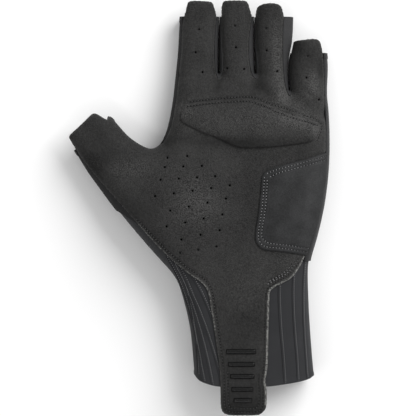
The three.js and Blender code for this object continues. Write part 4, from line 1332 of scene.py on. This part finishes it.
@functools.cache
def stitch_tree():
    """Stitches laid end to end along every line of a mesh, flat against its up directions."""
    tree, nodes, given = tree_with("stitches", {
        "Pitch": "NodeSocketFloat", "Length": "NodeSocketFloat", "Breadth": "NodeSocketFloat",
        "Height": "NodeSocketFloat", "Seed": "NodeSocketInt", "Thread": "NodeSocketMaterial"})
    curve = nodes.add("GeometryNodeMeshToCurve", inputs={"Mesh": given["Geometry"]})
    spaced = nodes.add("GeometryNodeResampleCurve", {"mode": "LENGTH"}, {
        "Curve": curve, "Length": given["Pitch"]})
    up = nodes.add("GeometryNodeInputNamedAttribute", {"data_type": "FLOAT_VECTOR"}, {"Name": "up"})
    along = nodes.add("GeometryNodeInputTangent")
    turn = nodes.add("FunctionNodeAxesToRotation", {"primary_axis": "Z", "secondary_axis": "X"}, {
        "Primary Axis": up, "Secondary Axis": along})
    shape = nodes.add("ShaderNodeCombineXYZ", inputs={
        0: given["Length"], 1: given["Breadth"], 2: given["Height"]})
    bead = nodes.add("GeometryNodeMeshUVSphere", inputs={"Segments": 8, "Rings": 5, "Radius": 0.5})
    stitch = nodes.add("GeometryNodeTransform", inputs={"Geometry": bead, "Scale": shape})
    laid = nodes.add("GeometryNodeInstanceOnPoints", inputs={
        "Points": spaced, "Instance": stitch, "Rotation": turn})
    chance = nodes.add("FunctionNodeRandomValue", {"data_type": "FLOAT"}, {
        2: -0.16, 3: 0.16, "Seed": given["Seed"]}, output=1)
    slant = nodes.add("ShaderNodeCombineXYZ", inputs={2: chance})
    askew = nodes.add("GeometryNodeRotateInstances", inputs={"Instances": laid, "Rotation": slant})
    return closing(tree, nodes, askew, given["Thread"])


@functools.cache
def rib_tree():
    """A round rib swept along every line of a mesh."""
    tree, nodes, given = tree_with("ribs", {
        "Radius": "NodeSocketFloat", "Step": "NodeSocketFloat", "Cloth": "NodeSocketMaterial"})
    curve = nodes.add("GeometryNodeMeshToCurve", inputs={"Mesh": given["Geometry"]})
    even = nodes.add("GeometryNodeResampleCurve", {"mode": "LENGTH"}, {
        "Curve": curve, "Length": given["Step"]})
    ring = nodes.add("GeometryNodeCurvePrimitiveCircle", {"mode": "RADIUS"}, {
        "Resolution": 8, "Radius": given["Radius"]})
    swept = nodes.add("GeometryNodeCurveToMesh", inputs={
        "Curve": even, "Profile Curve": ring, "Fill Caps": True})
    return closing(tree, nodes, swept, given["Cloth"])


def grown(name, paths, tree, **values):
    """What a tree of geometry nodes makes along paths, as a plain mesh."""
    points = np.concatenate([spots for spots, _ in paths]) * MM
    ups = np.concatenate([normals for _, normals in paths])
    edges, start = [], 0
    for spots, _ in paths:
        edges += [(start + k, start + k + 1) for k in range(len(spots) - 1)]
        start += len(spots)
    mesh = bpy.data.meshes.new(name + "_lines")
    mesh.from_pydata(points.tolist(), edges, [])
    upward = mesh.attributes.new("up", "FLOAT_VECTOR", "POINT")
    upward.data.foreach_set("vector", ups.astype(np.float32).ravel())
    guide = bpy.data.objects.new(name + "_lines", mesh)
    bpy.context.collection.objects.link(guide)
    modifier = guide.modifiers.new("grow", "NODES")
    modifier.node_group = tree
    for socket in tree.interface.items_tree:
        if socket.in_out == "INPUT" and socket.name in values:
            modifier[socket.identifier] = values[socket.name]
    seen = guide.evaluated_get(bpy.context.evaluated_depsgraph_get())
    result = bpy.data.meshes.new_from_object(seen)
    guide.modifiers.clear()
    bpy.data.objects.remove(guide)
    made = bpy.data.objects.new(name, result)
    result.name = name
    bpy.context.collection.objects.link(made)
    return made


def sewn(name, rows, rise, finish, long=0.5, pitch=1.0, thick=0.5, late=0, seed=1):
    """Stitches along rows of the plan, on the palm side: long and pitch are shares of a stitch."""
    step = size("stitch") * pitch * MM
    paths = [on_form(stepped(row)[late:], rise) for row in rows]
    return grown(name, paths, stitch_tree(), Pitch=step, Length=long * step, Breadth=thick * MM,
                 Height=thick * MM, Seed=seed, Thread=thread(finish))


def leather_fineness(points):
    """How long the leather's edges may be: shorter near rows and edges, shortest near holes."""
    edge = np.abs(leather_chart()(points[:, 0], points[:, 1]))
    near = np.minimum(np.minimum(lines("leather rows")(points), lines("pad edge")(points)), edge)
    holed = hole_reach(points) + FAR * (points[:, 2] < SEAM_HEIGHT)
    by_row = np.where(near < NEAR_ROW[0], NEAR_ROW[1], LEATHER_STEP)
    return np.where(holed < NEAR_HOLE[0], NEAR_HOLE[1], by_row)


def panel(name, cuts, rise, hem, bulge, finish):
    """A panel of cloth: the skin inside all the cuts, its hems folded by a share of their rise."""
    points, faces = skin()
    for cut in cuts:
        points, faces = trimmed(points, faces, cut)
    points = settled(points)
    outer = hem_fold(points) * hem + rise
    made = walled(points, faces, outer, rise - size("cloth_wall"), bulge)
    return piece(name, *made, finish)


class GLOVE_OT_palm(bpy.types.Operator):
    """Cuts the leather palm with its finger fronts, thumb and pull tab."""

    bl_idname = "glove.palm"
    bl_label = "Leather palm"

    def execute(self, context):
        points, faces = trimmed(*skin(), on_leather)
        points, faces = finer(points, faces, leather_fineness)
        points, faces = trimmed(points, faces, lambda p: size("hole") / 2 - hole_reach(p), 0.05)
        points = settled(points)
        relief = leather_relief(points)
        made = walled(points, faces, relief, relief - size("leather_wall"), LEATHER_BULGE)
        palm = piece("palm_leather", *made, suede())
        # Stores the painted highlights and painted shade, with some wear of the nap, at the leather's
        # points.
        painted(palm, "wear", painted_light_and_wear)
        painted(palm, "fray", frayed)
        dressed(palm, "leather", "palm_panel")
        return {"FINISHED"}


class GLOVE_OT_back(bpy.types.Operator):
    """Cuts the stretch cloth of the back of the hand and the thumb."""

    bl_idname = "glove.back"
    bl_label = "Back"

    def execute(self, context):
        cuts = (off_leather, off_fork, off_strips, within_hems, above_wrist)
        back = panel("back_cloth", cuts, BACK_RISE, 1, CLOTH_BULGE, stretch_cloth("stretch"))
        dressed(back, "stretch_cloth", "back_panel")
        return {"FINISHED"}


class GLOVE_OT_walls(bpy.types.Operator):
    """Cuts the three side walls between the fingers."""

    bl_idname = "glove.walls"
    bl_label = "Walls between the fingers"

    def execute(self, context):
        names = ("index_middle", "middle_ring", "ring_little")
        for name, slit in zip(names, SLITS):
            middle = plan(slit)
            near = lambda p: reach(p[:, 0], p[:, 1], middle) - FORK_REACH
            cuts = (near, in_fork, off_leather, within_hems)
            # The walls wear the paler copy of the stretch cloth, painted light against the shade inside the
            # slits.
            wall = panel(name + "_wall", cuts, WALL_RISE, WALL_HEM, WALL_BULGE, stretch_cloth("wall"))
            dressed(wall, "stretch_cloth", "fourchette_" + name)
        return {"FINISHED"}


class GLOVE_OT_strips(bpy.types.Operator):
    """Cuts the strips down the outer sides of the index and the little finger."""

    bl_idname = "glove.strips"
    bl_label = "Side strips"

    def execute(self, context):
        kinds = (
            ("index_strip", in_index_strip, stretch_cloth("stretch"), "stretch_cloth", "index_side_strip"),
            ("outer_strip", in_outer_strip, satin(), "satin_strip", "outer_side_strip"),
        )
        for name, inside, finish, slot, node in kinds:
            cuts = (inside, off_leather, off_fork, within_hems)
            strip = panel(name, cuts, STRIP_RISE, 1, CLOTH_BULGE, finish)
            dressed(strip, slot, node)
        return {"FINISHED"}


class GLOVE_OT_cuff(bpy.types.Operator):
    """Knits the cuff and its ribs."""

    bl_idname = "glove.cuff"
    bl_label = "Cuff"

    def execute(self, context):
        def below(points):
            return points[:, 1] - line_y(points[:, 0], BACK_EDGE) - CUFF_LAP * UNIT

        def above(points):
            return line_y(points[:, 0], CUFF_HEM) - points[:, 1]

        points, faces = skin()
        for cut in (below, above):
            points, faces = trimmed(points, faces, cut)
        points = settled(points)
        folded = CUFF_HEM_RISE * ease(above(points), *CUFF_HEM_FOLD)
        made = walled(points, faces, folded - CUFF_SINK, -CUFF_SINK - size("knit_wall"), CUFF_BULGE)
        dressed(piece("cuff_knit_tube", *made, knit()), "cuff_knit", "cuff")

        def level(rise):
            return lambda p: np.full(len(p), rise - CUFF_SINK)

        paths = [on_form(stepped(rib), level(RIB_RISE)) for rib in PALM_RIBS]
        paths += [on_form(stepped(rib), level(BACK_RIB_RISE), BELOW, -1) for rib in BACK_RIBS]
        ribs = grown("cuff_ribs", paths, rib_tree(), Radius=size("rib") * MM, Step=RIB_STEP * MM,
                     Cloth=knit())
        dressed(ribs, "cuff_knit")
        beside = [[(x + RIB_SEAM_ASIDE, y) for x, y in rib] for rib in PALM_RIBS]
        seams = sewn("cuff_rib_stitches", beside, level(RIB_SEAM_RISE), "pale_thread", pitch=0.76,
                     thick=0.4, seed=4)
        dressed(seams, "cuff_knit")
        return {"FINISHED"}


def cushion(name, outline, edge, rise, finish, floor=0.0, rows=None, also=()):
    """A sewn-on cushion: a dome that stands on the leather, with its stitch rows sunk in."""
    line = rounded(plan(outline), closed=True, passes=2)
    inside = lambda p: outside(p[:, 0], p[:, 1], line)
    points, faces = skin()
    low, high = line.min(0) - 2, line.max(0) + 2
    middle, half = (low + high) / 2, (high - low) / 2
    boxed = lambda p: (np.abs(p[:, :2] - middle) - half).max(1)
    upper = lambda p: SEAM_HEIGHT + 1 - p[:, 2]
    for cut in (boxed, upper, *also):
        points, faces = trimmed(points, faces, cut)

    def wanted(points):
        sunk = lines(rows)(points) if rows else FAR
        near = np.minimum(np.abs(inside(points)), sunk)
        return np.where(near < CUSHION_NEAR_ROW[0], CUSHION_NEAR_ROW[1], CUSHION_STEP)

    points, faces = finer(points, faces, wanted)
    points, faces = trimmed(points, faces, inside)
    points = settled(points)
    share = np.clip(-inside(points) / edge, 0, 1)
    dome = floor + rise * (CUSHION_LIP + (1 - CUSHION_LIP) * np.sqrt(1 - (1 - share) ** 2))
    if rows:
        dome = dome - hollow(lines(rows)(points), *ROW_HOLLOW)
    made = walled(points, faces, dome, CUSHION_FLOOR, CUSHION_BULGE)
    return piece(name, *made, finish)


class GLOVE_OT_cushions(bpy.types.Operator):
    """Puffs the palm pad and the heel patch."""

    bl_idname = "glove.cushions"
    bl_label = "Palm pad and heel patch"

    def execute(self, context):
        pad = cushion("palm_pad", PAD, PAD_EDGE, size("pad_rise"), suede(), PAD_FLOOR, "pad rows")
        # Stores the painted highlights and painted shade, with some wear of the nap, at the pad's points.
        painted(pad, "wear", painted_light_and_wear)
        dressed(pad, "leather", "upper_palm_pad")
        patch = cushion("heel_cushion", PATCH, PATCH_EDGE, size("patch_rise"), smooth_leather(),
                        PATCH_FLOOR, "patch rows", (lambda p: PATCH_GAP - in_outer_strip(p),))
        dressed(patch, "patch_leather", "heel_patch")
        return {"FINISHED"}


class GLOVE_OT_bars(bpy.types.Operator):
    """Moulds the silicone grip bars on the tab."""

    bl_idname = "glove.bars"
    bl_label = "Grip bars"

    def execute(self, context):
        for number, (x, y, long, wide) in enumerate(BARS, 1):
            outline = []
            for sx, sy in ((-1, -1), (1, -1), (1, 1), (-1, 1)):
                turn = [(BAR_CORNER, 0), (0, BAR_CORNER)]
                if sx * sy > 0:
                    turn.reverse()
                outline += [(x + sx * (long / 2 - a), y + sy * (wide / 2 - b)) for a, b in turn]
            bar = cushion(f"grip_bar_{number}", outline, BAR_EDGE, size("bar_rise"), silicone())
            dressed(bar, "silicone", f"silicone_bar_{number}")
        return {"FINISHED"}


class GLOVE_OT_stitches(bpy.types.Operator):
    """Sews the rows along the leather's edges and on the cushions."""

    bl_idname = "glove.stitches"
    bl_label = "Stitches"

    def execute(self, context):
        leather = lambda p: leather_relief(p) + ROW_RISE
        pad = lambda p: np.full(len(p), size("pad_rise") * PAD_ROW_SHARE)
        patch = lambda p: np.full(len(p), size("patch_rise") * PATCH_ROW_SHARE - PATCH_ROW_DROP)
        groups = (
            ("edge_stitches", EDGE_ROWS, leather, "leather", "thread"),
            ("heel_stitches", HEEL_ROWS, leather, "leather", "pale_thread"),
            ("pad_edge_stitches", PAD_ROWS[:1], leather, "leather", "thread"),
            ("pad_stitches", PAD_ROWS[1:], pad, "leather", "thread"),
            ("patch_stitches", PATCH_ROWS, patch, "patch_leather", "pale_thread"),
        )
        for seed, (name, rows, rise, slot, finish) in enumerate(groups, 1):
            dressed(sewn(name, rows, rise, finish, seed=seed), slot)
            # Near-black beads between the stitches stand for the painted shade of the needle holes.
            painted_hole_shades = sewn(name + "_pricks", rows, rise, "prick", long=0.42, thick=0.6, late=1, seed=seed)
            dressed(painted_hole_shades, slot)
        return {"FINISHED"}


class GLOVE_OT_stage(bpy.types.Operator):
    """Lays the pale floor and sets the lights and the camera."""

    bl_idname = "glove.stage"
    bl_label = "Floor, lights and camera"

    def execute(self, context):
        scene = context.scene
        scene.view_settings.view_transform = "Standard"
        bpy.ops.mesh.primitive_plane_add(size=FLOOR_SIZE, location=(0, 0, -FLOOR_DROP))
        floor = context.object
        floor.name = "floor"
        floor.data.materials.append(backdrop())
        world = bpy.data.worlds.new("studio")
        world.use_nodes = True
        sky = world.node_tree.nodes["Background"]
        sky.inputs["Color"].default_value = (1, 1, 1, 1)
        sky.inputs["Strength"].default_value = SKY
        scene.world = world
        for name, place, breadth, height, power in LAMPS:
            light = bpy.data.lights.new(name, "AREA")
            light.shape = "RECTANGLE"
            light.size = breadth
            light.size_y = height
            light.energy = power
            lamp = bpy.data.objects.new(name, light)
            lamp.location = place
            lamp.rotation_euler = (-Vector(place)).to_track_quat("-Z", "Y").to_euler()
            context.collection.objects.link(lamp)
        view = bpy.data.cameras.new("camera")
        view.lens = LENS
        camera = bpy.data.objects.new("camera", view)
        context.collection.objects.link(camera)
        far = PICTURE_BREADTH * UNIT * MM * view.lens / view.sensor_width
        camera.location = (PICTURE_ASIDE * UNIT * MM, 0, PICTURE_HEIGHT + far)
        scene.camera = camera
        return {"FINISHED"}


class GLOVE_PT_panel(bpy.types.Panel):
    """Lists the glove's pieces, sizes and colours."""

    bl_idname = "GLOVE_PT_panel"
    bl_label = "Cycling glove"
    bl_space_type = "VIEW_3D"
    bl_region_type = "UI"
    bl_category = "Glove"

    def draw(self, context):
        for operator in OPERATORS:
            self.layout.operator(operator.bl_idname)
        for group in (context.scene.glove_sizes, context.scene.glove_colours):
            for name in group.bl_rna.properties.keys():
                if name not in ("rna_type", "name"):
                    self.layout.prop(group, name)


OPERATORS = (
    GLOVE_OT_palm, GLOVE_OT_back, GLOVE_OT_walls, GLOVE_OT_strips, GLOVE_OT_cuff,
    GLOVE_OT_cushions, GLOVE_OT_bars, GLOVE_OT_stitches, GLOVE_OT_stage,
)


def register():
    """Adds the glove's settings, operators and panel."""
    for kind in (GloveSizes, GloveColours, *OPERATORS, GLOVE_PT_panel):
        bpy.utils.register_class(kind)
    bpy.types.Scene.glove_sizes = bpy.props.PointerProperty(type=GloveSizes)
    bpy.types.Scene.glove_colours = bpy.props.PointerProperty(type=GloveColours)


def unregister():
    """Takes them away again."""
    del bpy.types.Scene.glove_colours
    del bpy.types.Scene.glove_sizes
    for kind in (GLOVE_PT_panel, *reversed(OPERATORS), GloveColours, GloveSizes):
        bpy.utils.unregister_class(kind)


def main():
    """Builds the glove on its stage."""
    register()
    bpy.ops.glove.palm()
    bpy.ops.glove.back()
    bpy.ops.glove.walls()
    bpy.ops.glove.strips()
    bpy.ops.glove.cuff()
    bpy.ops.glove.cushions()
    bpy.ops.glove.bars()
    bpy.ops.glove.stitches()
    bpy.ops.glove.stage()


if __name__ == "__main__":
    main()
